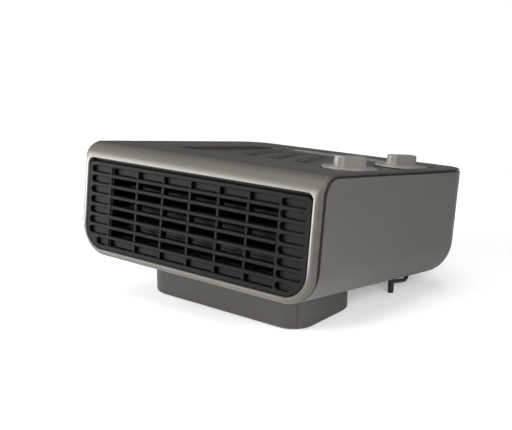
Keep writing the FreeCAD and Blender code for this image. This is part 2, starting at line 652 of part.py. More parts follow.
footBack = s.bodyDepth - s.footFromRear
for name, side in (("left", -1), ("right", 1)):
    footX = side * (halfWidth - s.footInset)
    peg = rod(s.footRadius, (footX, footBack, 0), s.frontLift).cut(caseSpace)
    peg = peg.makeFillet(s.footTip, [edge for edge in peg.Edges if edge.BoundBox.ZMax < 0.1])
    put(shapeFeature("rear_foot_%s" % name, peg), standFrame)
    frontLeg = footBack + s.footRadius + s.hookWire + s.hookGap
    rearLeg = frontLeg + s.hookSpan
    rise = bottomAbove(rearLeg) + 8
    route = [(frontLeg, rise), (frontLeg, s.hookFrontLow), (rearLeg, s.hookRearLow), (rearLeg, rise)]
    hook = bentBar([Vector(footX, y, z) for y, z in route], [2.6, 5], s.hookWire).cut(caseSpace)
    put(shapeFeature("cord_hook_%s" % name, hook), standFrame)


# ---------------------------------------------------------------- knobs and controls
stem = "gap + recessFloorThick + controlDrop - stemGap"
knobLayers = [
    ("disc", ["knobRadius"], "0", "knobDisc", "add"),
    ("slot", ["gripLength", "gripWidth"], "knobDisc - gripSink", "gripHeight + gripSink", "add"),
    ("disc", ["stemRadius"], "-(%s)" % stem, stem, "add"),
    ("disc", ["spindle + turnFit"], "-(%s)" % stem, stem + " - gripSink", "cut"),
]
controls = [("power", "rotary_switch", s.frontKnob), ("thermostat", "thermostat", rearKnobY)]
bodyTop = trayLow - s.controlDrop
spindleTop = knobBase - 1
spindleLow = bodyTop + 1 - s.spindleDepth
for knob, control, y in controls:
    turned = stackedBody("%s_knob" % knob, knobLayers)
    roundEdges(turned, "gripRound", lambda edge: edge.BoundBox.ZMin > s.knobDisc + s.gripHeight - 0.1)
    put(turned, caseFrame, knobX, y, knobBase, Rotation(Vector(0, 0, 1), -s.gripTurn))
    bar = rod(s.spindle, (0, 0, spindleLow), spindleTop - spindleLow)
    put(shapeFeature("%s_spindle" % control, bar), caseFrame, knobX, y)

switch = stackedBody("rotary_switch_body", [
    ("block", ["switchWidth", "switchDepth"], "-switchHeight", "switchHeight", "add"),
    ("disc", ["switchNose"], "0", "noseHeight", "add"),
    ("disc", ["spindle + turnFit"], "-spindleDepth", "spindleDepth + noseHeight", "cut")])
put(switch, caseFrame, knobX, s.frontKnob, bodyTop - s.noseHeight)
thermostat = stackedBody("thermostat_body", [
    ("disc", ["thermostatRadius"], "-thermostatHeight", "thermostatHeight", "add"),
    ("block", ["tabWidth", "tabReach"], "-thermostatHeight - tabHeight", "tabHeight", "add"),
    ("disc", ["thermostatNose"], "0", "noseHeight", "add"),
    ("disc", ["spindle + turnFit"], "-spindleDepth", "spindleDepth + noseHeight", "cut")])
put(thermostat, caseFrame, knobX, rearKnobY, bodyTop - s.noseHeight)
bracketEnd = s.bracketPostBeyond + s.bracketPost + 0.1
bracket = block((knobX - s.bracketHalf, s.frontKnob - bracketEnd, bodyTop),
                (knobX + s.bracketHalf, rearKnobY + bracketEnd, bodyTop + s.bracketThick))
for x, y in knobPlaces:
    bracket = bracket.cut(rod(s.stemRadius + s.gap, (x, y, bodyTop - 1), 3))
for x, y in bracketPosts:
    bracket = bracket.fuse(rod(s.bracketPost, (x, y, bodyTop + 1), trayLow - bodyTop - 1))
for x, y in bracketPosts:
    bracket = bracket.cut(rod(s.screwRadius + s.screwLoose, (x, y, bodyTop - 1), 2 * s.controlDrop))
put(shapeFeature("control_bracket", bracket), caseFrame)


# ---------------------------------------------------------------- heating element
heaterFront = grilleBack + s.heaterGap
heaterMid = (gridBottom + gridTop) / 2
heaterLow = heaterMid - s.heaterHeight / 2
frameSolid = block((-s.heaterWidth / 2, heaterFront, heaterLow),
                   (s.heaterWidth / 2, heaterFront + s.heaterDepth, heaterLow + s.heaterHeight))
windowHalf = s.heaterWidth / 2 - s.heaterRim
windowLow = heaterLow + s.heaterRim
windowHigh = heaterLow + s.heaterHeight - s.heaterRim
frameSolid = frameSolid.cut(block((-windowHalf, heaterFront - 1, windowLow),
                                  (windowHalf, heaterFront + s.heaterDepth + 1, windowHigh)))
put(shapeFeature("heater_frame", frameSolid), caseFrame)

stoneCount = 3
stonePitch = (windowHigh - windowLow) / stoneCount
elementFront = heaterFront + s.elementInset
elementBack = elementFront + s.elementDepth
stones = []
strips = []
fins = []
for n in range(stoneCount):
    centre = windowLow + (n + 0.5) * stonePitch
    low = centre - s.stoneHeight / 2
    high = centre + s.stoneHeight / 2
    stones.append(block((-windowHalf, elementFront, low), (windowHalf, elementBack, high)))
    for z in (low - s.stripThick, high):
        strips.append(block((-windowHalf, elementFront, z), (windowHalf, elementBack, z + s.stripThick)))
    lowFin = (windowLow + n * stonePitch, low - s.stripThick)
    highFin = (high + s.stripThick, windowLow + (n + 1) * stonePitch)
    for bottom, top in (lowFin, highFin):
        comb = block((-windowHalf, elementFront, bottom), (windowHalf, elementBack, bottom + s.finThick))
        plates = []
        for k in range(int(2 * windowHalf / s.finPitch)):
            x = -windowHalf + (k + 0.5) * s.finPitch
            plates.append(block((x, elementFront, bottom), (x + s.finThick, elementBack, top)))
        fins.append(comb.multiFuse(plates))
put(shapeFeature("ptc_stones", Part.makeCompound(stones)), caseFrame)
put(shapeFeature("electrode_strips", Part.makeCompound(strips)), caseFrame)
put(shapeFeature("heating_fins", Part.makeCompound(fins)), caseFrame)
heaterTop = heaterLow + s.heaterHeight
safetyY = heaterFront + 12
cutout = rod(8, (s.heaterWidth / 2 - 30, safetyY, heaterTop), 6)
put(shapeFeature("thermal_cutout", cutout), caseFrame)
clipThick = 0.6
fuseRadius, fuseLength = 2, 22
fuseLeft = -s.heaterWidth / 2 + 20
fuse = rod(fuseRadius, (fuseLeft, safetyY, heaterTop + clipThick + fuseRadius), fuseLength, Vector(1, 0, 0))
put(shapeFeature("thermal_fuse", fuse), caseFrame)
clip = block((fuseLeft + 8, safetyY - 6, heaterTop), (fuseLeft + 14, safetyY + 6, heaterTop + clipThick))
put(shapeFeature("fuse_clip", clip), caseFrame)


# ---------------------------------------------------------------- fan housing, duct and fan
scrollTop = s.scrollBase + s.scrollHeight
drumOuter = s.scrollRadius + s.scrollWall
outletLeft = fanX - drumOuter
outletRight = outletLeft + s.outletWidth
outletFront = fanY - drumOuter - 3
drum = rod(drumOuter, (fanX, fanY, s.scrollBase), s.scrollHeight)
throat = block((outletLeft, outletFront, s.scrollBase), (outletRight, fanY, scrollTop))
scroll = drum.fuse(throat)
hollowDrum = rod(s.scrollRadius, (fanX, fanY, s.scrollBase + s.scrollWall), s.scrollHeight)
hollowThroat = block((outletLeft + s.scrollWall, outletFront - 1, s.scrollBase + s.scrollWall),
                     (outletRight - s.scrollWall, fanY, scrollTop + 1))
scroll = scroll.cut(hollowDrum.fuse(hollowThroat))
for x, y in legPlaces:
    scroll = scroll.fuse(rod(4, (x, y, s.legHeight), s.scrollBase - s.legHeight + 0.5))
for x, y in legPlaces:
    scroll = scroll.cut(rod(s.screwRadius, (x, y, s.legHeight - 1), 12))
for side in (-1, 1):
    scroll = scroll.cut(rod(s.screwRadius, (fanX + side * s.motorScrewAcross, fanY, s.scrollBase - 1),
                            1 + s.scrollWall))
scroll = scroll.cut(rod(s.shaftRadius + 4, (fanX, fanY, s.scrollBase - 1), s.scrollWall + 2))
put(shapeFeature("fan_housing", scroll), caseFrame)

inletRadius = s.impellerRadius - 5
cover = rod(drumOuter, (fanX, fanY, scrollTop), s.scrollWall)
cover = cover.fuse(block((outletLeft, outletFront, scrollTop), (outletRight, fanY, scrollTop + s.scrollWall)))
cover = cover.fuse(tube(inletRadius + 2, inletRadius, (fanX, fanY, scrollTop + s.scrollWall - 1), 4))
cover = cover.cut(rod(inletRadius, (fanX, fanY, scrollTop - 1), 10))
put(shapeFeature("fan_housing_cover", cover), caseFrame)


def ductShape(inset):
    """A funnel from the fan's mouth to the back of the heating element."""
    def mouth(y, low, high):
        points = [Vector(low[0] + inset, y, low[1] + inset), Vector(high[0] - inset, y, low[1] + inset),
                  Vector(high[0] - inset, y, high[1] - inset), Vector(low[0] + inset, y, high[1] - inset)]
        return Part.makePolygon(points + points[:1])
    spill = 0.001 if inset else 0
    back = mouth(outletFront + spill, (outletLeft, s.scrollBase), (outletRight, scrollTop + s.scrollWall))
    front = mouth(heaterFront + s.heaterDepth - spill, (-s.heaterWidth / 2, heaterLow),
                  (s.heaterWidth / 2, heaterLow + s.heaterHeight))
    return Part.makeLoft([back, front], True, True)


put(shapeFeature("air_duct", ductShape(0).cut(ductShape(s.scrollWall))), caseFrame)

impellerBase = s.scrollBase + s.scrollWall + 3
backPlate = rod(s.impellerRadius, (0, 0, 0), 1.6).fuse(rod(7, (0, 0, 0), 16))
ring = tube(s.impellerRadius, s.impellerRadius - 4, (0, 0, s.impellerHeight - 2), 2)
impeller = backPlate.fuse(ring)
blades = []
for n in range(int(s.bladeCount)):
    blade = block((s.impellerRadius - 10, -0.6, 1), (s.impellerRadius - 1, 0.6, s.impellerHeight - 1))
    blade.rotate(Vector(s.impellerRadius - 6, 0, 0), Vector(0, 0, 1), 32)
    blade.rotate(Vector(0, 0, 0), Vector(0, 0, 1), 360 * n / s.bladeCount)
    blades.append(blade)
impeller = impeller.multiFuse(blades).cut(rod(s.shaftRadius + s.turnFit, (0, 0, -1), 30))
put(shapeFeature("impeller", impeller), caseFrame, fanX, fanY, impellerBase)

shaftLow = 5.5
shaft = rod(s.shaftRadius, (0, 0, shaftLow), impellerBase + 18 - shaftLow)
put(shapeFeature("motor_shaft", shaft), caseFrame, fanX, fanY)
rotor = tube(s.rotorRadius, s.shaftRadius + s.turnFit, (0, 0, s.stackBase), s.stackHeight)
put(shapeFeature("motor_rotor", rotor), caseFrame, fanX, fanY)
collar = tube(6, s.shaftRadius + s.turnFit, (0, 0, impellerBase + 16.1), 1.2)
put(shapeFeature("impeller_clip", collar), caseFrame, fanX, fanY)

windowStart, windowEnd, coilEnd = 22, 31, 47.5
windowSide, coilRise = 12, 7
stator = block((-s.stackHalf, -s.stackFront, 0), (s.stackHalf, s.stackRear, s.stackHeight))
stator = stator.cut(rod(s.rotorRadius + s.airGap, (0, 0, -1), s.stackHeight + 2))
stator = stator.cut(block((-windowSide, windowStart, -1), (windowSide, windowEnd, s.stackHeight + 1)))
for side in (-1, 1):
    stator = stator.cut(rod(s.screwRadius + s.screwLoose, (side * s.motorScrewAcross, 0, -1),
                            s.stackHeight + 2))
put(shapeFeature("motor_laminations", stator), caseFrame, fanX, fanY, s.stackBase)
coil = block((0.5 - windowSide, windowStart + s.screwLoose, -coilRise),
             (windowSide - 0.5, coilEnd, s.stackHeight + coilRise))
coil = coil.cut(block((-windowSide - 1, windowEnd - s.screwLoose, -s.screwLoose),
                      (windowSide + 1, s.stackRear + s.screwLoose, s.stackHeight + s.screwLoose)))
put(shapeFeature("motor_coil", coil), caseFrame, fanX, fanY, s.stackBase)
stackTop = s.stackBase + s.stackHeight
for label, z, height in (("motor_bracket_lower", s.stackBase - 5, 5),
                         ("motor_bracket_upper", stackTop, s.scrollBase - stackTop)):
    plateZ = z if label.endswith("lower") else z + height - s.bridgeThick
    bridge = block((-s.motorScrewAcross - 3, -s.bridgeHalf, plateZ),
                   (s.motorScrewAcross + 3, s.bridgeHalf, plateZ + s.bridgeThick))
    for side in (-1, 1):
        bridge = bridge.fuse(rod(2 * s.screwRadius, (side * s.motorScrewAcross, 0, z), height))
    bridge = bridge.cut(rod(s.bearingRadius + s.seatGap, (0, 0, plateZ - 1), 4))
    for side in (-1, 1):
        bridge = bridge.cut(rod(s.screwRadius + s.screwLoose, (side * s.motorScrewAcross, 0, z - 1),
                                height + 2))
    put(shapeFeature(label, bridge), caseFrame, fanX, fanY)
bearings = [tube(s.bearingRadius, s.shaftRadius + s.turnFit, (0, 0, z), s.bearingHeight)
            for z in (s.stackBase - 6, s.scrollBase - 3)]
put(shapeFeature("motor_bearings", Part.makeCompound(bearings)), caseFrame, fanX, fanY)


# ---------------------------------------------------------------- cord inlet, terminals, screws
way = Vector(0, 1, 0)
insideReach, flangeReach = 8, 2.2
inletAt = (inletX, s.bodyDepth - s.wall - insideReach, s.inletHeight)
grommet = rod(grommetHole - 2 * s.seatGap, inletAt, s.wall + insideReach + 2, way)
grommet = grommet.fuse(rod(grommetHole + s.grommetFlange, (inletX, s.bodyDepth + s.seatGap, s.inletHeight),
                           flangeReach, way))
grommet = grommet.fuse(rod(grommetHole + 2.4, (inletX, s.bodyDepth - s.wall - 2.4, s.inletHeight),
                           2.4 - s.seatGap, way))
grommet = grommet.cut(rod(s.cordRadius, (inletX, s.bodyDepth - 30, s.inletHeight), 60, way))
put(shapeFeature("cord_grommet", grommet), caseFrame)
saddleTop = clampTop + 2 * s.cordRadius + s.clampCover
saddleHalf = s.clampAcross + s.clampHalf
saddle = block((inletX - saddleHalf, clampY - s.clampHalf, clampTop + s.seatGap),
               (inletX + saddleHalf, clampY + s.clampHalf, saddleTop))
saddle = saddle.cut(rod(s.cordRadius + 0.1, (inletX, clampY - 5, s.inletHeight), 10, way))
for side in (-1, 1):
    hole = rod(s.screwRadius + s.screwLoose, (inletX + side * s.clampAcross, clampY, clampTop - 1), 20)
    saddle = saddle.cut(hole)
put(shapeFeature("cord_clamp", saddle), caseFrame)

terminal = block((-s.terminalWidth / 2, -s.terminalDepth / 2, 0),
                 (s.terminalWidth / 2, s.terminalDepth / 2, s.terminalHeight))
terminalXs = [n * s.terminalPitch for n in (-1, 0, 1)]
for x in terminalXs:
    terminal = terminal.cut(rod(2.6, (x, 0, 6), s.terminalHeight))
    terminal = terminal.cut(rod(1.8, (x, -s.terminalDepth, 4), 2 * s.terminalDepth, way))
terminalAt = (knobX - 6, s.frontKnob + 30, s.wall)
put(shapeFeature("terminal_block", terminal), caseFrame, *terminalAt)
heads = [rod(2.4, (x, 0, 7), 6) for x in terminalXs]
put(shapeFeature("terminal_screws", Part.makeCompound(heads)), caseFrame, *terminalAt)


def screw(x, y, seat, length, up=1):
    """A pan-head screw whose head rests on the seat; it points up or down."""
    head = rod(s.headRadius, (x, y, seat - up * s.headHeight), s.headHeight, Vector(0, 0, up))
    slotHalf, slotDeep = s.headRadius - 1, 0.9
    slotLow = seat - s.headHeight - 0.1 if up > 0 else seat + s.headHeight - slotDeep
    slot = block((x - slotHalf, y - 0.4, slotLow), (x + slotHalf, y + 0.4, slotLow + slotDeep + 0.1))
    shank = rod(s.screwRadius - 0.02, (x, y, seat - up * 0.1), length, Vector(0, 0, up))
    return head.cut(slot).fuse(shank)


housingScrews = [screw(x, y, s.headSeat + 1 - s.seatGap, 28) for x, y in postPlaces]
put(shapeFeature("housing_screws", Part.makeCompound(housingScrews)), caseFrame)
baseScrews = [screw(x, y, -s.plinthWall - s.seatGap, 11) for x, y in plinthScrews]
put(shapeFeature("plinth_screws", Part.makeCompound(baseScrews)), caseFrame)
clampScrews = [screw(inletX + side * s.clampAcross, clampY, saddleTop + s.seatGap,
                     saddleTop - clampTop + 7, -1) for side in (-1, 1)]
put(shapeFeature("clamp_screws", Part.makeCompound(clampScrews)), caseFrame)
legScrews = [screw(x, y, 3 - s.seatGap, 12) for x, y in legPlaces]
put(shapeFeature("fan_housing_screws", Part.makeCompound(legScrews)), caseFrame)
motorScrews = [screw(fanX + side * s.motorScrewAcross, fanY, s.stackBase - 5 - s.seatGap,
                     s.scrollBase - s.stackBase + 6) for side in (-1, 1)]
put(shapeFeature("motor_screws", Part.makeCompound(motorScrews)), caseFrame)
bracketScrews = [screw(x, y, bodyTop - s.seatGap, 4.4) for x, y in bracketPosts]
put(shapeFeature("bracket_screws", Part.makeCompound(bracketScrews)), caseFrame)

# lead wires: terminals to switch, switch to heater and thermostat, terminals to motor
blockX, blockY = terminalAt[:2]
wireStart = terminalAt[2] + s.terminalHeight + 0.1
switchFoot = bodyTop - s.noseHeight - s.switchHeight
wireRoutes = [
    [(blockX - 5, blockY + 6, wireStart), (blockX - 5, blockY + 6, 50), (knobX - 8, s.frontKnob, 50),
     (knobX - 8, s.frontKnob, switchFoot)],
    [(blockX + 5, blockY + 6, wireStart), (blockX + 5, blockY + 6, 56), (knobX + 2, s.frontKnob, 56),
     (knobX + 2, s.frontKnob, switchFoot)],
    [(knobX + 8, s.frontKnob - 6, switchFoot), (knobX + 8, s.frontKnob - 6, 52),
     (knobX + 8, heaterFront + 12, 52), (s.heaterWidth / 2, heaterFront + 12, 52)],
    [(blockX - s.terminalWidth / 2, blockY, 10), (blockX - 32, blockY, 10), (blockX - 36, fanY + 30, 10),
     (fanX + windowSide - 0.5, fanY + 34, 10)],
]
wires = [bentBar([Vector(*point) for point in route], 2 * [s.wireBend], s.wireRadius)
         for route in wireRoutes]
wires.append(rod(s.wireRadius, (knobX - 2, s.frontKnob + s.switchDepth / 2, bodyTop - 18),
                 knobSpacing - s.switchDepth / 2 - s.tabReach / 2, way))
put(shapeFeature("lead_wires", Part.makeCompound(wires)), caseFrame)


# ---------------------------------------------------------------- checks and export
doc.recompute()
for item in doc.Objects:
    if "Invalid" in item.State or "Error" in item.State:
        raise ValueError("%s is %s" % (item.Label, item.State))
for label, feature in parts.items():
    if feature.Shape.isNull() or not feature.Shape.isValid():
        raise ValueError("%s has no valid shape" % label)
os.makedirs("parts", exist_ok=True)
for label, feature in parts.items():
    feature.Shape.exportStep(os.path.join("parts", "%s.step" % label))
    box = feature.Shape.BoundBox
    print("%-24s %2d solids %9.0f mm3  x %7.1f %7.1f  y %7.1f %7.1f  z %7.1f %7.1f" % (
        label, len(feature.Shape.Solids), feature.Shape.Volume,
        box.XMin, box.XMax, box.YMin, box.YMax, box.ZMin, box.ZMax))
print("%d sub-parts, case frame y %.3f" % (len(parts), -middleY))
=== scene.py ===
import json
import math

import bmesh
import bpy
import numpy as np
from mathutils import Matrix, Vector


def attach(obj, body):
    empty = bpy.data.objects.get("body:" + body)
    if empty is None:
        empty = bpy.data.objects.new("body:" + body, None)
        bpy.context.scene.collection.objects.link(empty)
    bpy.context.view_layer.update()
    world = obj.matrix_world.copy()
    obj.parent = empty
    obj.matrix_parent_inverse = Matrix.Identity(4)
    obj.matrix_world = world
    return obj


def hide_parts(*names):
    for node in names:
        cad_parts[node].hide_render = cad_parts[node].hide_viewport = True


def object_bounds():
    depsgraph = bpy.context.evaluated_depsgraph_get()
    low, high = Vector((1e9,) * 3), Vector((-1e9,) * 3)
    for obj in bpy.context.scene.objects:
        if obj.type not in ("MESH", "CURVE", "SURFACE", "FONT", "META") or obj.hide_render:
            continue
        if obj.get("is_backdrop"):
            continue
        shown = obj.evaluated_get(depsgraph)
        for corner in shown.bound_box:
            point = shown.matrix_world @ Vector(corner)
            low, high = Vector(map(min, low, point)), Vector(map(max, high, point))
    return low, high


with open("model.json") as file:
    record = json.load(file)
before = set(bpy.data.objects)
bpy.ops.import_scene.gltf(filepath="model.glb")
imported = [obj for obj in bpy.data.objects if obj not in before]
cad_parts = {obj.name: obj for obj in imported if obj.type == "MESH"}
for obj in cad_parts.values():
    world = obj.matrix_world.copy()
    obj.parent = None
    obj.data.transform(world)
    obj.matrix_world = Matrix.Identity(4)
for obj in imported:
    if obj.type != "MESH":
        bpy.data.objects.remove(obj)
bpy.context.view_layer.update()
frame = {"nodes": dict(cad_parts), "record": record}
print("frame loaded:", len(frame["nodes"]), "parts")
mm = 0.001
quarterTurn = np.linspace(0, math.pi / 2, 7)

# The case leans back on its plinth. Its own axes: x across, y from the front face to the rear,
# z up from the case bottom. The fan turns about the case's z axis, so that joint gives the lean.
joints = {joint["name"]: joint for joint in frame["record"]["behaviour"]["joints"]}
caseUp = Vector(joints["fan_spin"]["axis"]).normalized()
caseBack = Vector((0, caseUp.z, -caseUp.y))
caseTurn = np.array([[1, 0, 0], [0, caseBack.y, caseUp.y], [0, caseBack.z, caseUp.z]])
case = {
    "width": 250, "depth": 238.8, "height": 97.3, "wall": 2.4,
    "bottomRound": 28, "topRound": 3, "roll": 18, "frontRound": 6,
    "rearCorner": 28, "rearBottom": 31, "rearTop": 3,
}
knobAt = {"power": (88, 92), "thermostat": (88, 176)}
knobSeat = 95.4                                     # underside of both knob discs, case z
caseStart = np.array(joints["power_turn"]["pos_m"]) / mm - caseTurn @ np.array([*knobAt["power"], knobSeat])


# Case millimetres to metres in the frame: start + turn * p.
def caseToWorld(points):
    return (np.asarray(points, dtype=float) @ caseTurn.T + caseStart) * mm


# Level millimetres, y from the case's front edge, to metres in the frame.
def standToWorld(points):
    return (np.asarray(points, dtype=float) + np.array([0, caseStart[1], 0])) * mm


# Points and faces as an object whose mesh is already in place.
def makePiece(name, points, faces, toWorld=caseToWorld):
    mesh = bpy.data.meshes.new(name)
    mesh.from_pydata(toWorld(points).tolist(), [], faces)
    mesh.validate()
    mesh.update()
    piece = bpy.data.objects.new(name, mesh)
    bpy.context.collection.objects.link(piece)
    return piece


# Quads of a rows by columns grid, optionally closed on itself either way.
def gridFaces(rows, columns, closeRows=False, closeColumns=False, start=0):
    i = np.arange(rows if closeRows else rows - 1)
    j = np.arange(columns if closeColumns else columns - 1)
    a, b = np.meshgrid(i, j, indexing="ij")
    c, d = (a + 1) % rows, (b + 1) % columns
    quads = np.stack([a * columns + b, a * columns + d, c * columns + d, c * columns + b], -1)
    return (quads.reshape(-1, 4) + start).tolist()


def fixNormals(piece):
    work = bmesh.new()
    work.from_mesh(piece.data)
    bmesh.ops.remove_doubles(work, verts=work.verts, dist=1e-6)
    bmesh.ops.recalc_face_normals(work, faces=work.faces)
    work.to_mesh(piece.data)
    work.free()
    return piece


# Round faces shade smoothly, and edges sharper than the angle stay crisp.
def smoothShade(piece, degrees=32):
    mesh = piece.data
    mesh.shade_smooth()
    mesh.set_sharp_from_angle(angle=math.radians(degrees))
    weighted = piece.modifiers.new("evenShade", "WEIGHTED_NORMAL")
    weighted.keep_sharp = True
    return piece


# A round edge as pairs: how far along from its start, and how far out it still has to go.
def quarterRound(size):
    return [(size * (1 - math.cos(a)), size * (1 - math.sin(a))) for a in quarterTurn]


# A closed skin over equal rings (stages x points x 3), flat at both ends.
def loft(name, rings, toWorld=caseToWorld):
    rings = np.asarray(rings)
    stages, count = rings.shape[:2]
    faces = gridFaces(stages, count, closeColumns=True)
    faces.append(list(range(count))[::-1])
    faces.append(list(range((stages - 1) * count, stages * count)))
    return fixNormals(makePiece(name, rings.reshape(-1, 3), faces, toWorld))


def bakeModifiers(piece):
    depsgraph = bpy.context.evaluated_depsgraph_get()
    made = bpy.data.meshes.new_from_object(piece.evaluated_get(depsgraph))
    piece.modifiers.clear()
    piece.data = made
    return piece


# Cut, join or keep the overlap of two closed meshes; the tool is used up.
def combine(piece, tool, way):
    step = piece.modifiers.new("shape", "BOOLEAN")
    step.operation = way
    step.object = tool
    step.solver = "MANIFOLD"
    bakeModifiers(piece)
    bpy.data.objects.remove(tool)
    return piece


# Several closed meshes as one.
def joined(name, tools):
    points, faces = [], []
    for tool in tools:
        base = len(points)
        points += [v.co[:] for v in tool.data.vertices]
        faces += [[base + k for k in polygon.vertices] for polygon in tool.data.polygons]
        bpy.data.objects.remove(tool)
    return makePiece(name, points, faces, lambda p: np.asarray(p))


# A rectangle with arcs at its corners: low left, low right, high right, high left.
def roundOutline(left, right, low, high, radii, steps=10):
    radii = np.broadcast_to(radii, 4)
    centres = [(left + radii[0], low + radii[0]), (right - radii[1], low + radii[1]),
               (right - radii[2], high - radii[2]), (left + radii[3], high - radii[3])]
    angles = np.linspace(0, math.pi / 2, steps)
    pieces = []
    for n, (centre, radius) in enumerate(zip(centres, radii)):
        turn = angles + math.pi * (1 + n / 2)
        pieces.append(np.stack([centre[0] + radius * np.cos(turn), centre[1] + radius * np.sin(turn)], -1))
    return np.concatenate(pieces)


# A (left, right, low, high, radii) box moved outward.
def grow(box, amount):
    left, right, low, high, radii = box
    return (left - amount, right + amount, low - amount, high + amount,
            np.maximum(np.broadcast_to(radii, 4) + amount, 0.05))


# A rounded box outline carried along its normal; profile is (distance, outward growth).
def bandLoft(name, box, profile, plane, steps=10, toWorld=caseToWorld):
    rings = []
    for along, amount in profile:
        outline = roundOutline(*grow(box, amount), steps)
        fill = np.full(len(outline), along)
        columns = {"XZ": (outline[:, 0], fill, outline[:, 1]),
                   "XY": (outline[:, 0], outline[:, 1], fill),
                   "YZ": (fill, outline[:, 0], outline[:, 1])}[plane]
        rings.append(np.stack(columns, -1))
    return loft(name, rings, toWorld)


# A profile of (radius, height) turned about a case z axis through centre.
def turnedPiece(name, profile, centre, steps=64, toWorld=caseToWorld):
    profile = np.asarray(profile, dtype=float)
    turn = np.linspace(0, 2 * math.pi, steps, endpoint=False)
    radius, height = profile[:, :1], profile[:, 1:]
    rings = np.stack([centre[0] + radius * np.cos(turn), centre[1] + radius * np.sin(turn),
                      centre[2] + height + 0 * turn], -1)
    return loft(name, rings, toWorld)


# Sharp edges get a narrow two-step bevel, baked in.
def edgeRound(piece, width):
    bevel = piece.modifiers.new("softEdge", "BEVEL")
    bevel.width = width * mm
    bevel.segments = 2
    bevel.limit_method = "ANGLE"
    bevel.angle_limit = math.radians(50)
    bevel.use_clamp_overlap = True
    bevel.miter_outer = "MITER_ARC"
    return bakeModifiers(piece)


def rideAndSlot(piece, node, body="case"):
    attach(piece, body)
    if node:
        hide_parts(*([node] if isinstance(node, str) else node))
    return piece


def newMaterial(name):
    material = bpy.data.materials.new(name)
    material.use_nodes = True
    tree = material.node_tree
    shader = tree.nodes["Principled BSDF"]
    return material, tree, shader


def addNode(tree, kind, **values):
    node = tree.nodes.new(kind)
    for key, value in values.items():
        if key in node.inputs:
            node.inputs[key].default_value = value
        else:
            setattr(node, key, value)
    return node


# Object coordinates, stretched each way.
def objectPoints(tree, stretch=(1, 1, 1)):
    place = addNode(tree, "ShaderNodeTexCoord")
    mapping = addNode(tree, "ShaderNodeMapping", Scale=stretch)
    tree.links.new(place.outputs["Object"], mapping.inputs["Vector"])
    return mapping.outputs["Vector"]


def noiseAt(tree, vector, scale, detail=3.0, roughness=0.5):
    noise = addNode(tree, "ShaderNodeTexNoise", Scale=scale, Detail=detail, Roughness=roughness)
    tree.links.new(vector, noise.inputs["Vector"])
    return noise.outputs["Fac"]


# Colours by position along a value from 0 to 1.
def ramp(tree, value, stops):
    node = addNode(tree, "ShaderNodeValToRGB")
    while len(node.color_ramp.elements) < len(stops):
        node.color_ramp.elements.new(0.5)
    for element, (position, colour) in zip(node.color_ramp.elements, stops):
        element.position = position
        element.color = (*colour, 1)
    tree.links.new(value, node.inputs["Fac"])
    return node.outputs["Color"]


def mapRange(tree, value, low, high):
    node = addNode(tree, "ShaderNodeMapRange")
    node.inputs["To Min"].default_value = low
    node.inputs["To Max"].default_value = high
    tree.links.new(value, node.inputs["Value"])
    return node.outputs["Result"]


def addBump(tree, shader, height, strength, distance):
    bump = addNode(tree, "ShaderNodeBump", Strength=strength, Distance=distance)
    tree.links.new(height, bump.inputs["Height"])
    tree.links.new(bump.outputs["Normal"], shader.inputs["Normal"])
    return bump


metalPaint = {"dark": (0.078, 0.074, 0.064), "light": (0.114, 0.108, 0.094), "metal": 0.25, "specular": 0.25,
              "rough": (0.36, 0.44), "flake": 2600, "peel": 420, "peelDeep": 0.00006, "cloud": 9,
              "mottle": 0.35, "coat": 0.12, "coatRough": 0.3}


# Satin metallic paint: fine flakes tint and roughen it, a faint orange peel bends it.
def makeMetalPaint(name, paint):
    material, tree, shader = newMaterial(name)
    points = objectPoints(tree)
    flakes = addNode(tree, "ShaderNodeTexVoronoi", Scale=paint["flake"])
    tree.links.new(points, flakes.inputs["Vector"])
    cloud = noiseAt(tree, points, paint["cloud"], 2)
    tint = addNode(tree, "ShaderNodeMix", data_type="RGBA")
    tree.links.new(mapRange(tree, flakes.outputs["Color"], 0.0, 1.0), tint.inputs["Factor"])
    tint.inputs["A"].default_value = (*paint["dark"], 1)
    tint.inputs["B"].default_value = (*paint["light"], 1)
    soft = addNode(tree, "ShaderNodeMix", data_type="RGBA", blend_type="MULTIPLY")
    soft.inputs["Factor"].default_value = paint["mottle"]
    tree.links.new(tint.outputs["Result"], soft.inputs["A"])
    tree.links.new(ramp(tree, cloud, [(0.3, (0.86, 0.86, 0.86)), (0.7, (1, 1, 1))]), soft.inputs["B"])
    tree.links.new(soft.outputs["Result"], shader.inputs["Base Color"])
    peel = noiseAt(tree, points, paint["peel"], 2)
    tree.links.new(mapRange(tree, noiseAt(tree, points, 35, 4), *paint["rough"]), shader.inputs["Roughness"])
    shader.inputs["Metallic"].default_value = paint["metal"]
    shader.inputs["Specular IOR Level"].default_value = paint["specular"]
    shader.inputs["Coat Weight"].default_value = paint["coat"]
    shader.inputs["Coat Roughness"].default_value = paint["coatRough"]
    addBump(tree, shader, peel, 0.10, paint["peelDeep"])
    return material


# Moulded plastic: a fine spark-eroded grain and a slight change of tone.
def makePlastic(name, colour, spread=0.12, rough=(0.42, 0.55), grain=1500, depth=0.25, specular=0.5):
    material, tree, shader = newMaterial(name)
    points = objectPoints(tree)
    low = tuple(c * (1 - spread) for c in colour)
    high = tuple(min(1, c * (1 + spread)) for c in colour)
    tree.links.new(ramp(tree, noiseAt(tree, points, 60, 5), [(0.3, low), (0.7, high)]),
                   shader.inputs["Base Color"])
    tree.links.new(mapRange(tree, noiseAt(tree, points, 240, 3), *rough), shader.inputs["Roughness"])
    shader.inputs["Specular IOR Level"].default_value = specular
    addBump(tree, shader, noiseAt(tree, points, grain, 2), depth, 0.00005)
    return material


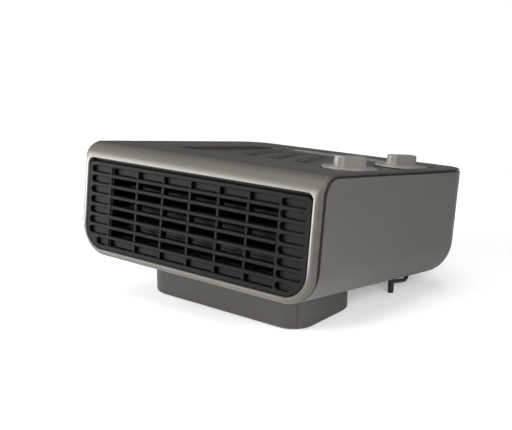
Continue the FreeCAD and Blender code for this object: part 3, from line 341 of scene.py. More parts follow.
# Rolled or plated metal: streaks along one way, faint stains.
def makeMetal(name, colour, rough=(0.25, 0.4), stretch=(1, 1, 30), spread=0.1):
    material, tree, shader = newMaterial(name)
    streaks = noiseAt(tree, objectPoints(tree, stretch), 90, 4)
    low = tuple(c * (1 - spread) for c in colour)
    tree.links.new(ramp(tree, streaks, [(0.35, low), (0.7, colour)]), shader.inputs["Base Color"])
    tree.links.new(mapRange(tree, streaks, *rough), shader.inputs["Roughness"])
    shader.inputs["Metallic"].default_value = 1
    addBump(tree, shader, streaks, 0.15, 0.00003)
    return material


finishes = {
    "case_paint": makeMetalPaint("bronzeGreyPaint", metalPaint),
    "knob_plastic": makeMetalPaint("champagnePaint", {
        **metalPaint, "dark": (0.245, 0.236, 0.213), "light": (0.32, 0.309, 0.28), "metal": 0.15,
        "rough": (0.40, 0.50)}),
    "grille_plastic": makePlastic("grilleBlack", (0.006, 0.006, 0.0062), rough=(0.5, 0.6), specular=0.03),
    "dark_plastic": makePlastic("footBlack", (0.022, 0.022, 0.020), rough=(0.5, 0.62)),
    "rubber": makePlastic("softRubber", (0.018, 0.018, 0.018), rough=(0.7, 0.85), grain=900),
    "white_plastic": makePlastic("natural", (0.42, 0.40, 0.35)),
    "heater_plastic": makePlastic("glassFilledBlack", (0.010, 0.010, 0.010), rough=(0.55, 0.7), depth=0.4,
                                  specular=0.1),
    "ptc_ceramic": makePlastic("ceramicStone", (0.008, 0.0075, 0.007), spread=0.25, rough=(0.75, 0.9),
                               grain=700),
    # The aluminium fins are coloured near black: painted shade, so the heater behind the grille reads dark.
    "fin_aluminium": makePlastic("finPaintedShade", (0.003, 0.003, 0.0033), rough=(0.7, 0.85), specular=0.02),
    "zinc_steel": makeMetal("zincPlate", (0.55, 0.55, 0.52)),
    "lamination_steel": makeMetal("laminations", (0.22, 0.22, 0.24), stretch=(1, 1, 400)),
    "copper": makeMetal("windings", (0.52, 0.20, 0.08), stretch=(1, 1, 300)),
    "brass": makeMetal("brassTurned", (0.62, 0.47, 0.20)),
    "wire_sleeve": makePlastic("wireSleeve", (0.36, 0.05, 0.03), rough=(0.6, 0.7)),
}
nodeSlots = {part["node"]: part["material_slot"] for part in frame["record"]["subparts"]}
for nodeName, part in frame["nodes"].items():
    for holder in part.material_slots:
        holder.material = finishes[nodeSlots[nodeName]]
print("materials made:", len(finishes))


def finishPiece(piece, slotName, node, body="case", degrees=32):
    piece.data.materials.clear()
    piece.data.materials.append(finishes[slotName])
    smoothShade(piece, degrees)
    return rideAndSlot(piece, node, body)


# Camera, floor and light.
shot = {"place": (0.44702, -0.58721, 0.25199), "turn": 38.78, "down": 14.03, "lens": 59.68}
camera = bpy.data.objects.new("camera", bpy.data.cameras.new("camera"))
camera.data.lens = shot["lens"]
camera.data.sensor_width = 36
camera.location = shot["place"]
camera.rotation_euler = (math.radians(90 - shot["down"]), 0, math.radians(shot["turn"]))
camera.data.clip_end = 50
bpy.context.collection.objects.link(camera)
bpy.context.scene.camera = camera

studio = {"floor": 60.0, "floorColour": (0.86, 0.86, 0.86), "floorRough": 0.8, "floorSheen": 0.1,
          "worldColour": (1.0, 0.99, 0.97), "world": 0.08,
          "glow": 0.30, "farGlow": 0.9, "near": 0.55, "far": 1.7, "wallAway": 14.0, "wallHigh": 4.0,
          "wallParts": 96, "lampAim": (0, -0.05, 0.07)}
floorMesh = bpy.data.meshes.new("floor")
half = studio["floor"] / 2
floorCorners = [(-half, -half, 0), (half, -half, 0), (half, half, 0), (-half, half, 0)]
floorMesh.from_pydata(floorCorners, [], [(0, 1, 2, 3)])
floor = bpy.data.objects.new("floor", floorMesh)
bpy.context.collection.objects.link(floor)
floorMaterial, floorTree, floorShader = newMaterial("paleFloor")
floorShader.inputs["Base Color"].default_value = (*studio["floorColour"], 1)
floorShader.inputs["Roughness"].default_value = studio["floorRough"]
floorShader.inputs["Specular IOR Level"].default_value = studio["floorSheen"]
floorShader.inputs["Emission Color"].default_value = (1, 1, 1, 1)
floorPlace = addNode(floorTree, "ShaderNodeTexCoord")
floorAway = addNode(floorTree, "ShaderNodeVectorMath", operation="LENGTH")
floorGlow = addNode(floorTree, "ShaderNodeMapRange", interpolation_type="SMOOTHSTEP", **{
    "From Min": studio["near"], "From Max": studio["far"],
    "To Min": studio["glow"], "To Max": studio["farGlow"]})
floorTree.links.new(floorPlace.outputs["Object"], floorAway.inputs[0])
floorTree.links.new(floorAway.outputs["Value"], floorGlow.inputs["Value"])
floorTree.links.new(floorGlow.outputs["Result"], floorShader.inputs["Emission Strength"])
floorMesh.materials.append(floorMaterial)

# The floor glows more with distance, and a low pale wall stands far off all round, so that the
# background stays white and has no dark horizon.
turns = np.linspace(0, 2 * math.pi, studio["wallParts"], endpoint=False)
ring = np.column_stack([np.cos(turns), np.sin(turns), 0 * turns]) * studio["wallAway"]
wallPoints = np.vstack([ring + [0, 0, studio["wallHigh"]], ring])
wallMesh = bpy.data.meshes.new("wall")
wallMesh.from_pydata(wallPoints.tolist(), [], gridFaces(2, len(turns), closeColumns=True))
wallMesh.materials.append(floorMaterial)
wall = bpy.data.objects.new("wall", wallMesh)
wall.visible_diffuse = False
wall.visible_glossy = False
bpy.context.collection.objects.link(wall)
glowTakers = bpy.data.collections.new("glowTakers")     # the studio's own glow lights nothing else
glowTakers.objects.link(floor)
for backing in (floor, wall):
    backing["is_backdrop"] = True
    backing.light_linking.receiver_collection = glowTakers

world = bpy.data.worlds.new("studio")
world.use_nodes = True
background = world.node_tree.nodes["Background"]
background.inputs["Color"].default_value = (*studio["worldColour"], 1)
background.inputs["Strength"].default_value = studio["world"]
bpy.context.scene.world = world
bpy.context.scene.view_settings.view_transform = "Standard"

overhead = {"strength": 1.5, "spread": 60, "turn": (6, -4, 0)}    # broad soft light from above
sun = bpy.data.lights.new("overhead", "SUN")
sun.energy = overhead["strength"]
sun.angle = math.radians(overhead["spread"])
sunLamp = bpy.data.objects.new("overhead", sun)
sunLamp.rotation_euler = [math.radians(a) for a in overhead["turn"]]
bpy.context.collection.objects.link(sunLamp)
softboxes = {
    "lowLeft": {"place": (-0.95, -1.05, 0.10), "size": (1.1, 0.2), "power": 43},
    "nearRight": {"place": (0.48, -0.18, 0.26), "size": (0.2, 0.2), "power": 1.2},
    "frontLeft": {"place": (-1.0, -1.15, 0.70), "size": (1.2, 0.5), "power": 26},
}
lamps = {}
for name, box in softboxes.items():
    data = bpy.data.lights.new(name, "AREA")
    data.shape = "RECTANGLE"
    data.size, data.size_y = box["size"]
    data.energy = box["power"]
    lamp = bpy.data.objects.new(name, data)
    lamp.location = box["place"]
    aim = Vector(studio["lampAim"]) - Vector(box["place"])
    lamp.rotation_euler = aim.to_track_quat("-Z", "Y").to_euler()
    bpy.context.collection.objects.link(lamp)
    lamp.visible_camera = False
    lamps[name] = lamp
print("studio set")


# Case shells.
groove = {"setback": 5, "width": 1.6, "drop": 1.2, "corner": 13, "crownInset": 4.8, "edge": 0.45,
          "flare": 4.4, "flareDeep": 2.3}
opening = {"side": 7.4, "low": 5.8, "top": 13.7, "lowRound": 20, "topRound": 5, "lip": 1.6, "sleeve": 8.2,
           "wall": 2.2}
halfWidth = case["width"] / 2
openingBox = (-halfWidth + opening["side"], halfWidth - opening["side"], opening["low"],
              case["height"] - opening["top"],
              np.array([opening["lowRound"], opening["lowRound"], opening["topRound"], opening["topRound"]]))


# A rounded edge draws in by r - sqrt(r^2 - (r - d)^2) at a distance d from the end.
def edgeInset(distance, radius):
    d = np.clip(distance, 0, radius)
    return radius - np.sqrt(radius ** 2 - (radius - d) ** 2)


# The case across at each depth: a rounded rectangle drawn in by the front roll and the rear edges.
def caseSkin(name, inset):
    def less(key):
        return max(case[key] - inset, 0.5)
    front, rear = inset, case["depth"] - inset
    swing = np.linspace(0, math.pi / 2, 18)
    fromFront = [front + less(key) * (1 - np.cos(swing)) for key in ("frontRound", "roll")]
    fromRear = [rear - less(key) * (1 - np.cos(swing)) for key in ("rearTop", "rearBottom", "rearCorner")]
    depths = np.unique(np.round(np.concatenate(fromFront + fromRear), 3))
    rings = []
    for y in depths:
        sideIn = edgeInset(y - front, less("frontRound")) + edgeInset(rear - y, less("rearCorner"))
        lowIn = edgeInset(y - front, less("frontRound")) + edgeInset(rear - y, less("rearBottom"))
        highIn = edgeInset(y - front, less("roll")) + edgeInset(rear - y, less("rearTop"))
        side = halfWidth - inset - sideIn
        radii = np.array([less("bottomRound")] * 2 + [less("topRound")] * 2)
        outline = roundOutline(-side, side, inset + lowIn, case["height"] - inset - highIn, radii, 14)
        rings.append(np.column_stack([outline[:, 0], np.full(len(outline), y), outline[:, 1]]))
    return loft(name, rings)


# Side view of the lower housing with its round front corner, carried right across the case. Where it
# flares, the front edge moves forward by f * (1 - sin a) at a depth of d * (1 - cos a) in from the side.
def panelZone(grown, flare=0.0):
    front = groove["setback"] + groove["width"] - grown
    top = case["height"] - groove["drop"] - groove["width"] + grown
    swing = np.linspace(0, math.pi / 2, 9)
    depths = groove["flareDeep"] * (1 - np.cos(swing))
    across = np.concatenate([[-halfWidth - 9], depths - halfWidth, halfWidth - depths[::-1], [halfWidth + 9]])
    moved = flare * np.concatenate([[1], 1 - np.sin(swing), (1 - np.sin(swing))[::-1], [1]])
    rings = []
    for x, forward in zip(across, moved):
        radii = np.array([0.5, 0.5, 0.5, groove["corner"] + grown])
        outline = roundOutline(front - forward, case["depth"] + 20, -20, top, radii, 16)
        rings.append(np.column_stack([np.full(len(outline), x), outline]))
    return loft("zone", rings)


# Everything above the opening and inside the side walls, which the upper housing keeps.
def crown():
    inset = groove["crownInset"]
    corner = case["rearCorner"] - inset
    radii = np.array([0.5, 0.5, corner, corner])
    plan = (-halfWidth + inset, halfWidth - inset, -5, case["depth"] - inset, radii)
    heights = [(case["height"] - opening["top"] + 1, 0), (case["height"] + 9, 0)]
    return bandLoft("crown", plan, heights, "XY", 16)


recess = {"left": 55, "right": 13.5, "front": 55, "rear": 35.8, "deep": 2.3, "edge": 0.9, "cove": 0.5,
          "round": np.array([5, 5, 12, 28]), "floor": 2.0}
recessBox = (-halfWidth + recess["left"], halfWidth - recess["right"], recess["front"],
             case["depth"] - recess["rear"], recess["round"])
recessFloor = case["height"] - recess["deep"]
vents = {"pitch": 16.5, "width": 8.6, "length": 22, "step": 28, "count": 6, "rows": 3, "lean": 22,
         "edge": 0.45, "left": 10, "fromRear": 95.8}
fanAt = (-vents["left"], case["depth"] - vents["fromRear"])
# The floor fraction sets how far below the recess floor's top the dark starts, which darkens the vent slot
# walls as painted shade.
paintEdge = {"ofWall": 0.75, "slotShadeOfFloor": 0.2, "aroundRecess": 2}


# Paint is only outside: faces deeper than the wall's outer part are bare dark moulding. The depth is the
# distance inside a box with round edges.
# The recess floor counts as outside, but the walls of the vent slots through it take the dark moulding too,
# as painted shade that makes the slots read dark.
def bareInsideAndShadedSlots(piece):
    mesh = piece.data
    mesh.materials.append(finishes["heater_plastic"])
    centres = np.empty(len(mesh.polygons) * 3)
    mesh.polygons.foreach_get("center", centres)
    places = (centres.reshape(-1, 3) / mm - caseStart) @ caseTurn
    half = np.array([case["width"], case["depth"], case["height"]]) / 2
    beyond = abs(places - [0, half[1], half[2]]) - (half - case["rearBottom"])
    outside = np.linalg.norm(np.maximum(beyond, 0), axis=1) + np.minimum(beyond.max(axis=1), 0)
    outside -= case["rearBottom"]
    x, y, z = places.T
    left, right, front, rear = recessBox[:4]
    margin = paintEdge["aroundRecess"]
    inRecess = (x > left - margin) & (x < right + margin) & (y > front - margin) & (y < rear + margin)
    # The vent slot walls lie below this level, so they turn dark: painted shade in the vents, bare moulding
    # under the floor.
    underFloorAndSlotShade = z < recessFloor - paintEdge["slotShadeOfFloor"] * recess["floor"]
    inside = (outside < -paintEdge["ofWall"] * case["wall"]) & (~inRecess | underFloorAndSlotShade)
    mesh.polygons.foreach_set("material_index", inside.astype(np.int32))


# A cutter's profile for a soft edge: it widens by a quarter circle of the given size at the surface.
def softMouthPoints(surface, size, inward, reach=6, deep=20):
    edge = [(surface + inward * along, out) for along, out in quarterRound(size)]
    return [(surface - inward * reach, size), *edge, (surface + inward * deep, 0)]


# Round-ended slots in leaning rows over the fan, with soft upper edges.
def ventCutter():
    lean = math.radians(vents["lean"])
    rowWay = np.array([-math.sin(lean), math.cos(lean)])
    slotWay = np.array([math.cos(lean), -math.sin(lean)])
    across = np.array([math.sin(lean), math.cos(lean)])
    slot = (-vents["length"] / 2, vents["length"] / 2, -vents["width"] / 2, vents["width"] / 2,
            vents["width"] / 2.1)
    slots = []
    for row in np.arange(vents["rows"]) - (vents["rows"] - 1) / 2:
        for step in np.arange(vents["count"]) - (vents["count"] - 1) / 2:
            centre = np.array(fanAt) + [row * vents["step"], 0] + rowWay * step * vents["pitch"]
            rings = []
            for height, out in softMouthPoints(recessFloor, vents["edge"], -1, 6, 9):
                outline = roundOutline(*grow(slot, out), 7)
                flat = centre + outline[:, :1] * slotWay + outline[:, 1:] * across
                rings.append(np.column_stack([flat, np.full(len(flat), height)]))
            slots.append(loft("slot", rings))
    return joined("slots", slots)


# A round post or hole about a case z axis.
def post(x, y, low, high, radius, steps=28):
    return turnedPiece("post", [(radius, low), (radius, high)], (x, y, 0), steps)


shell = combine(caseSkin("outer", 0), caseSkin("inner", case["wall"]), "DIFFERENCE")
lowerShell = shell.copy()
lowerShell.data = shell.data.copy()
bpy.context.collection.objects.link(lowerShell)

sides = combine(panelZone(groove["width"], groove["flare"]), crown(), "DIFFERENCE")
upper = combine(shell, sides, "DIFFERENCE")
around = opening["wall"]
tray = [(recessFloor - recess["floor"], around), (case["height"] - 1, around)]
upper = combine(upper, bandLoft("tray", recessBox, tray, "XY", 14), "UNION")
sleeve = [(case["wall"] / 2, around), (opening["sleeve"], around)]
upper = combine(upper, bandLoft("sleeve", openingBox, sleeve, "XZ", 14), "UNION")
mouth = bandLoft("mouth", openingBox, softMouthPoints(0, opening["lip"], 1), "XZ", 14)
upper = combine(upper, mouth, "DIFFERENCE")
coved = [(recessFloor + along, -out) for along, out in quarterRound(recess["cove"])]
rolled = softMouthPoints(case["height"], recess["edge"], -1, 5, 0)[:-1][::-1]
upper = combine(upper, bandLoft("recess", recessBox, coved + rolled, "XY", 18), "DIFFERENCE")
upper = combine(upper, ventCutter(), "DIFFERENCE")
dish = {"radius": 24.2, "deep": 0.5, "hole": 5.4, "round": 1.0}
slope = [(dish["radius"] - dish["round"] * math.cos(a), dish["deep"] * (math.sin(a) - 1))
         for a in quarterTurn]
dishProfile = [(0.01, -dish["deep"]), *slope, (dish["radius"], 3), (0.01, 3)]
for x, y in knobAt.values():
    upper = combine(upper, turnedPiece("bowl", dishProfile, (x, y, recessFloor), 96), "DIFFERENCE")
    upper = combine(upper, post(x, y, recessFloor - 9, recessFloor + 9, dish["hole"], 48), "DIFFERENCE")
upper.name = "upperHousing"
edgeRound(upper, groove["edge"])
finishPiece(upper, "case_paint", "front_top_housing")
bareInsideAndShadedSlots(upper)
print("upper housing:", len(upper.data.polygons), "faces")

lower = combine(lowerShell, panelZone(0), "INTERSECT")
lower = combine(lower, crown(), "DIFFERENCE")
tongue = {"gap": 0.05, "thick": 1.45, "rise": 0.7, "root": 4, "mouthGap": 2.8}
lip = combine(caseSkin("lip", case["wall"] - tongue["gap"]),
              caseSkin("lipInside", case["wall"] + tongue["thick"] + tongue["gap"]), "DIFFERENCE")
lip = combine(lip, panelZone(groove["width"] + tongue["rise"]), "INTERSECT")
lip = combine(lip, panelZone(-tongue["root"]), "DIFFERENCE")
lip = combine(lip, crown(), "DIFFERENCE")
reach = [(-4, 0), (opening["sleeve"] + 1, 0)]
mouth = bandLoft("mouth", grow(openingBox, tongue["mouthGap"]), reach, "XZ", 14)
lip = combine(lip, mouth, "DIFFERENCE")
lower = combine(lower, lip, "UNION")
intake = {"left": -62, "right": 46, "low": 37, "top": 81.3, "round": 5, "edge": 0.9, "gap": 0.3,
          "slot": 3.4, "pitch": 6, "bar": 3, "border": 5, "slotEdge": 0.6}
intakeBox = (intake["left"], intake["right"], intake["low"], intake["top"], intake["round"])
mouth = bandLoft("intake", intakeBox, softMouthPoints(case["depth"], intake["edge"], -1), "XZ", 8)
lower = combine(lower, mouth, "DIFFERENCE")
inlet = {"x": 78, "z": 40, "hole": 5.6, "bore": 3.6, "flange": 8.6, "thick": 2.2, "inside": 10.4,
         "round": 0.9, "gap": 0.1, "collarOut": 2.4, "collarLow": 4.8}
inletBox = (inlet["x"] - inlet["hole"], inlet["x"] + inlet["hole"], inlet["z"] - inlet["hole"],
            inlet["z"] + inlet["hole"], inlet["hole"] - 0.01)
cordHole = bandLoft("cordHole", inletBox, [(case["depth"] - 9, 0), (case["depth"] + 5, 0)], "XZ", 12)
lower = combine(lower, cordHole, "DIFFERENCE")
screwPosts = {"inset": 21, "front": 24, "rear": 20, "radius": 6, "join": 46, "gap": 0.3, "seat": 29,
              "head": 3.7, "hole": 1.7, "fanReach": 40, "fanSeat": 2, "fanHigh": 5.4}
for x in (screwPosts["inset"] - halfWidth, halfWidth - screwPosts["inset"]):
    for y in (screwPosts["front"], case["depth"] - screwPosts["rear"]):
        barrel = post(x, y, case["wall"] / 2, screwPosts["join"] - screwPosts["gap"], screwPosts["radius"])
        barrel = combine(barrel, caseSkin("room", case["wall"] / 2), "INTERSECT")
        lower = combine(lower, barrel, "UNION")
        lower = combine(lower, post(x, y, -3, screwPosts["seat"] + 1, screwPosts["head"]), "DIFFERENCE")
        lower = combine(lower, post(x, y, screwPosts["seat"], 60, screwPosts["hole"]), "DIFFERENCE")
for i in (-1, 1):
    for j in (-1, 1):
        x, y = fanAt[0] + screwPosts["fanReach"] * i, fanAt[1] + screwPosts["fanReach"] * j
        boss = post(x, y, case["wall"] / 2, screwPosts["fanHigh"], screwPosts["radius"])
        lower = combine(lower, boss, "UNION")
        lower = combine(lower, post(x, y, -3, screwPosts["fanSeat"] + 1, screwPosts["head"]), "DIFFERENCE")
        lower = combine(lower, post(x, y, -3, 9, screwPosts["hole"]), "DIFFERENCE")
lower.name = "lowerHousing"
edgeRound(lower, groove["edge"])
finishPiece(lower, "case_paint", "lower_housing")
bareInsideAndShadedSlots(lower)
print("lower housing:", len(lower.data.polygons), "faces")


# Outlet grille.
grille = {"fit": 0.3, "gapTop": 2.4, "border": 3.6, "setback": 1.2, "thick": 7, "flange": 2.4,
          "rows": 8, "columns": 6, "endCell": 25, "rowBar": 3.2, "postBar": 2.4, "postBack": 0.9, "edge": 1.0,
          "postEdge": 0.4, "blind": 3.2, "pip": 0.9, "pipHigh": 0.5, "outerEdge": 0.8}
left, right, low, high, radii = grow(openingBox, -grille["fit"])
plateBox = (left, right, low, high - grille["gapTop"], radii)
face, back = grille["setback"], grille["setback"] + grille["thick"]
plateProfile = [(face + along, -out) for along, out in quarterRound(grille["outerEdge"])] + [(back, 0)]
plate = bandLoft("outletGrille", plateBox, plateProfile, "XZ", 14)
flangeProfile = [(back - grille["flange"], 0), (back, 0)]
plate = combine(plate, bandLoft("flange", (left, right, low, high, radii), flangeProfile, "XZ", 14), "UNION")
gridTop = openingBox[3] - grille["gapTop"] - grille["fit"] - grille["border"]
gridLow = openingBox[2] + grille["fit"] + grille["border"] + 0.4
rowPitch = (gridTop - gridLow + grille["rowBar"]) / grille["rows"]
cellHeight = rowPitch - grille["rowBar"]
gridHalf = openingBox[1] - grille["fit"] - grille["border"]
gridInner = gridHalf - grille["endCell"]
columnPitch = 2 * gridInner / grille["columns"]

channels = []
for row in range(grille["rows"]):
    z = gridLow + row * rowPitch
    soft = softMouthPoints(face, grille["edge"], 1, 4, grille["postBack"] + 0.2)
    channels.append(bandLoft("channel", (-gridInner, gridInner, z, z + cellHeight, 0.3), soft, "XZ", 4))
    reach = gridHalf - (opening["lowRound"] / 2 if row == 0 else 0)
    for side in (-1, 1):
        near, far = sorted((side * (gridInner + grille["postBar"] / 2 + 0.6), side * reach))
        rounds = np.array([cellHeight / 2.05] * 4)
        blind = softMouthPoints(face, grille["edge"] * 0.8, 1, 4, grille["blind"])
        channels.append(bandLoft("blind", (near, far, z, z + cellHeight, rounds), blind, "XZ", 7))
plate = combine(plate, joined("channels", channels), "DIFFERENCE")
cells = []
floorLevel = face + grille["postBack"] + 0.2
for row in range(grille["rows"]):
    z = gridLow + row * rowPitch
    deep = grille["blind"] if row in (0, grille["rows"] - 1) else grille["thick"] + 2
    for column in range(grille["columns"]):
        start = -gridInner + column * columnPitch + grille["postBar"] / 2
        end = start + columnPitch - grille["postBar"]
        rings = []
        for along, out in [(floorLevel - 0.05, grille["postEdge"]),
                           *softMouthPoints(floorLevel, grille["postEdge"], 1, 0, deep)[1:]]:
            outline = roundOutline(start - out, end + out, z, z + cellHeight, 0.5, 4)
            rings.append(np.column_stack([outline[:, 0], np.full(len(outline), along), outline[:, 1]]))
        cells.append(loft("cell", rings))
plate = combine(plate, joined("cells", cells), "DIFFERENCE")
pipLevel = gridLow + grille["rows"] / 2 * rowPitch - grille["rowBar"] / 2
for column in (0, 3, 6):
    x = -gridInner + column * columnPitch
    profile = [(face - grille["pipHigh"] * math.cos(a), grille["pip"] * (math.sin(a) - 1))
               for a in quarterTurn[1:]]
    pipBox = (x - grille["pip"], x + grille["pip"], pipLevel - grille["pip"], pipLevel + grille["pip"],
              grille["pip"] - 0.02)
    plate = combine(plate, bandLoft("pip", pipBox, [*profile, (face + 1, 0)], "XZ", 5), "UNION")
plate.name = "outletGrille"
finishPiece(plate, "grille_plastic", "outlet_grille")
print("outlet grille:", len(plate.data.polygons), "faces")


# Rear intake grille.
rearFace, rearInside = case["depth"] - 0.4, case["depth"] - case["wall"]
plateProfile = [(rearFace, -0.6), (rearFace - 0.2, -0.25), (rearFace - 0.6, 0), (rearInside - 1, 0)]
rearPlate = bandLoft("intakeGrille", grow(intakeBox, -intake["gap"]), plateProfile, "XZ", 8)
rim = bandLoft("rim", grow(intakeBox, 4), [(rearInside - 2, 0), (rearInside - 0.1, 0)], "XZ", 8)
rearPlate = combine(rearPlate, rim, "UNION")
slotLow, slotTop = intake["low"] + intake["border"], intake["top"] - intake["border"]
middle = (slotLow + slotTop) / 2
slotCount = int((intake["right"] - intake["left"] - 2 * intake["border"]) / intake["pitch"])
firstSlot = (intake["left"] + intake["right"] - (slotCount - 1) * intake["pitch"] - intake["slot"]) / 2
slotProfile = softMouthPoints(rearFace, intake["slotEdge"], -1, 4, 12)
slots = []
for n in range(slotCount):
    x = firstSlot + n * intake["pitch"]
    for z0, z1 in ((slotLow, middle - intake["bar"] / 2), (middle + intake["bar"] / 2, slotTop)):
        slotBox = (x, x + intake["slot"], z0, z1, intake["slot"] / 2.1)
        slots.append(bandLoft("slot", slotBox, slotProfile, "XZ", 5))
rearPlate = combine(rearPlate, joined("rearSlots", slots), "DIFFERENCE")
rearPlate.name = "intakeGrille"
finishPiece(rearPlate, "grille_plastic", "rear_intake_grille")
print("intake grille:", len(rearPlate.data.polygons), "faces")


# Knobs.
knob = {"radius": 22.6, "disc": 2.0, "rim": 0.6, "gripLong": 30, "gripWide": 11.6, "gripTop": 11, "turn": 22,
        "edge": 1.3, "draft": 0.3, "crown": 0.35, "foot": 0.8, "stem": 5, "stemLong": 4.6}


# Disc with a round rim; grip with a foot fillet, a slight draft, round shoulders and a crowned top.
def makeKnob(name, at):
    rim = [(knob["radius"] - out, knob["disc"] - along) for along, out in quarterRound(knob["rim"])[::-1]]
    under = [(0.01, 0), (knob["radius"] - 0.5, 0), (knob["radius"], 0.5)]
    disc = turnedPiece(name, [*under, *rim, (0.01, knob["disc"] - 0.02)], (*at, knobSeat), 120)
    grip = (-knob["gripWide"] / 2, knob["gripWide"] / 2, -knob["gripLong"] / 2, knob["gripLong"] / 2,
            knob["gripWide"] / 2 - 0.01)
    turn = math.radians(-knob["turn"])
    turned = np.array([[math.cos(turn), -math.sin(turn), 0], [math.sin(turn), math.cos(turn), 0], [0, 0, 1]])
    base = knobSeat + knob["disc"]
    foot = [(base - 0.5, knob["foot"])] + [(base + along, out) for along, out in quarterRound(knob["foot"])]
    shoulderTop = knobSeat + knob["gripTop"] - knob["crown"]
    shoulder = [(shoulderTop - out, -knob["draft"] - along) for along, out in quarterRound(knob["edge"])]
    half = knob["gripWide"] / 2 - knob["draft"] - knob["edge"]
    dome = [(shoulderTop + knob["crown"] * (1 - ((knob["gripWide"] / 2 - inset) / half) ** 2), -inset)
            for inset in np.linspace(knob["draft"] + knob["edge"], knob["gripWide"] / 2 - 0.1, 7)[1:]]
    bar = bandLoft("grip", grip, foot + shoulder + dome, "XY", 14,
                   lambda points: caseToWorld(np.asarray(points) @ turned.T + [*at, 0]))
    body = combine(disc, bar, "UNION")
    return combine(body, post(*at, knobSeat - knob["stemLong"], knobSeat + 0.5, knob["stem"], 48), "UNION")


for dial, at in knobAt.items():
    made = makeKnob(dial + "Knob", at)
    made.name = dial + "Knob"
    finishPiece(made, "knob_plastic", dial + "_knob", dial + "_dial", 40)
print("knobs made")


# Plinth, feet and cord hooks, level with the table.
plinth = {"half": 83.8, "front": 42.7, "deep": 84, "round": 20, "wall": 2.5, "low": 0.8, "edge": 2.6,
          "seam": 0.35, "seamOpen": 1.1}
plinthBox = (-plinth["half"], plinth["half"], plinth["front"], plinth["front"] + plinth["deep"],
             plinth["round"])


# Standing solid between a low level and above the case, cut by the leaning case bottom.
def underCase(piece, drop=0.0):
    corners = [[x, y, z] for z in (-drop, 160) for y in (-80, 320) for x in (-200, 200)]
    faces = [[0, 1, 3, 2], [4, 6, 7, 5], [0, 4, 5, 1], [2, 3, 7, 6], [0, 2, 6, 4], [1, 5, 7, 3]]
    return combine(piece, fixNormals(makePiece("space", corners, faces)), "DIFFERENCE")


standProfile = [(plinth["low"] + along, -out) for along, out in quarterRound(plinth["edge"])] + [(60, 0)]
stand = underCase(bandLoft("plinthPiece", plinthBox, standProfile, "XY", 18, standToWorld))
hollow = bandLoft("hollow", grow(plinthBox, -plinth["wall"]), [(-3, 0), (60, 0)], "XY", 16, standToWorld)
stand = combine(stand, underCase(hollow, plinth["wall"]), "DIFFERENCE")
for side in (-1, 1):                                # a fine upright seam at each front corner
    centre = np.array([side * (plinth["half"] - plinth["round"]), plinth["front"] + plinth["round"]])
    out = np.array([side, -1]) / math.sqrt(2)
    along = np.array([out[1], -out[0]]) * plinth["seamOpen"]
    touch = centre + out * plinth["round"]
    section = [touch - out * plinth["seam"], touch + out + along, touch + out - along]
    rings = [np.column_stack([np.array(section), np.full(3, z)]) for z in (-2, 60)]
    stand = combine(stand, loft("seam", rings, standToWorld), "DIFFERENCE")
stand.name = "plinthPiece"
finishPiece(stand, "case_paint", "plinth")
lowShade = bpy.data.collections.new("lowShade")         # the low softbox passes over the plinth
lowShade.objects.link(stand)
lowShade.collection_objects[0].light_linking.link_state = "EXCLUDE"
lamps["lowLeft"].light_linking.receiver_collection = lowShade

feet = {"x": 89, "y": 175.7, "radius": 2.6, "tip": 0.8, "hookWire": 1.8, "hookGap": 0.2, "hookSpan": 24.5,
        "frontLow": 9.4, "rearLow": 4.4, "bends": (2.6, 5), "flare": 1.2}


# A round bar along straight runs joined by arcs: rings square to the path, from its own tangents.
def bentBar(name, points, bends, radius, steps=20):
    path = [points[0]]
    for n, bend in enumerate(bends, start=1):
        back, ahead = points[n - 1] - points[n], points[n + 1] - points[n]
        back, ahead = back / np.linalg.norm(back), ahead / np.linalg.norm(ahead)
        half = math.acos(np.clip(back @ ahead, -1, 1)) / 2
        middle = (back + ahead) / np.linalg.norm(back + ahead)
        centre = points[n] + middle * bend / math.sin(half)
        start, end = points[n] + back * bend / math.tan(half), points[n] + ahead * bend / math.tan(half)
        a, b = (start - centre) / bend, (end - centre) / bend
        swing = math.acos(np.clip(a @ b, -1, 1))
        for t in np.linspace(0, 1, 10):
            mixed = math.sin((1 - t) * swing) * a + math.sin(t * swing) * b
            path.append(centre + bend * mixed / math.sin(swing))
    path.append(points[-1])
    path = np.array(path)
    tangent = np.gradient(path, axis=0)
    tangent[0], tangent[-1] = path[1] - path[0], path[-1] - path[-2]
    tangent /= np.linalg.norm(tangent, axis=1)[:, None]
    across = np.array([1.0, 0, 0])
    other = np.cross(tangent, across)
    turn = np.linspace(0, 2 * math.pi, steps, endpoint=False)[None, :, None]
    rings = path[:, None] + radius * (np.cos(turn) * across + np.sin(turn) * other[:, None])
    return loft(name, rings, standToWorld)


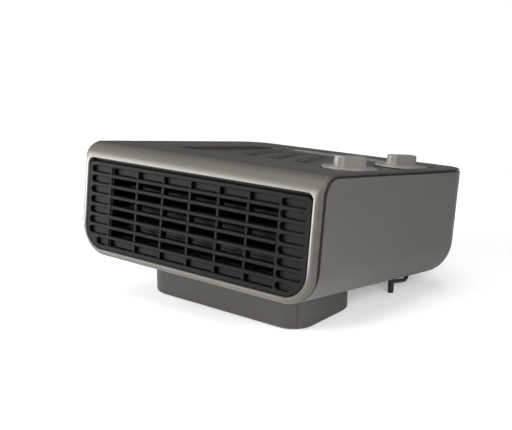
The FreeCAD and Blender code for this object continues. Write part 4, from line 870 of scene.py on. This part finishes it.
for side, name in ((-1, "left"), (1, "right")):
    x = side * feet["x"]
    tip = [(feet["radius"] - out, along) for along, out in quarterRound(feet["tip"])]
    peg = turnedPiece("foot", [(0.01, 0), *tip, (feet["radius"], 60)], (x, feet["y"], 0), 40, standToWorld)
    peg = underCase(peg)
    peg.name = name + "Foot"
    finishPiece(peg, "dark_plastic", "rear_foot_" + name)
    frontLeg = feet["y"] + feet["radius"] + feet["hookWire"] + feet["hookGap"]
    rearLeg = frontLeg + feet["hookSpan"]
    route = [(frontLeg, 30), (frontLeg, feet["frontLow"]), (rearLeg, feet["rearLow"]), (rearLeg, 30)]
    route = [np.array([x, y, z], dtype=float) for y, z in route]
    hook = underCase(bentBar("hook", route, feet["bends"], feet["hookWire"]))
    hook.name = name + "CordHook"
    finishPiece(hook, "dark_plastic", "cord_hook_" + name, degrees=50)

pads = {"radius": 7, "thick": 2, "round": 0.5, "inset": 22, "insetDeep": 20}
padEdge = [(pads["radius"] - out, along) for along, out in quarterRound(pads["round"])]
padProfile = [(0.01, 0), *padEdge, (pads["radius"], pads["thick"]), (0.01, pads["thick"])]
made = []
for i in (-1, 1):
    for j in (-1, 1):
        x = i * (plinth["half"] - pads["inset"])
        y = plinth["front"] + plinth["deep"] / 2 + j * (plinth["deep"] / 2 - pads["insetDeep"])
        made.append(turnedPiece("pad", padProfile, (x, y, 0), 40, standToWorld))
padPiece = joined("restPads", made)
finishPiece(padPiece, "rubber", "rubber_pads")
print("stand made")


# Rings about the case's y axis through the inlet: a flange with round edges, a neck and an inner collar.
def alongRear(name, profile, steps=56):
    profile = np.array(profile)
    turn = np.linspace(0, 2 * math.pi, steps, endpoint=False)
    radius, along = profile[:, :1], profile[:, 1:]
    rings = np.stack([inlet["x"] + radius * np.cos(turn), case["depth"] + along + 0 * turn,
                      inlet["z"] + radius * np.sin(turn)], -1)
    points = rings.reshape(-1, 3)
    return fixNormals(makePiece(name, points, gridFaces(len(profile), steps, True, True)))


edge = quarterRound(inlet["round"])
outerEdge = [(inlet["flange"] - along, inlet["thick"] - out) for along, out in edge]
boreEdge = [(inlet["bore"] + out, inlet["thick"] - along) for along, out in edge]
neck, collar = inlet["hole"] - inlet["gap"], inlet["hole"] + inlet["collarOut"]
collarTop = case["wall"] + 0.05
bushing = alongRear("cordGrommet", [
    (inlet["flange"], 0.05), *outerEdge[:-1], *boreEdge, (inlet["bore"], -inlet["inside"]),
    (neck, -inlet["inside"]), (neck, -inlet["collarLow"]), (collar, -inlet["collarLow"]),
    (collar, -collarTop), (neck, -collarTop), (neck, 0.05)])
finishPiece(bushing, "rubber", "cord_grommet")
print("cord inlet made")

low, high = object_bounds()
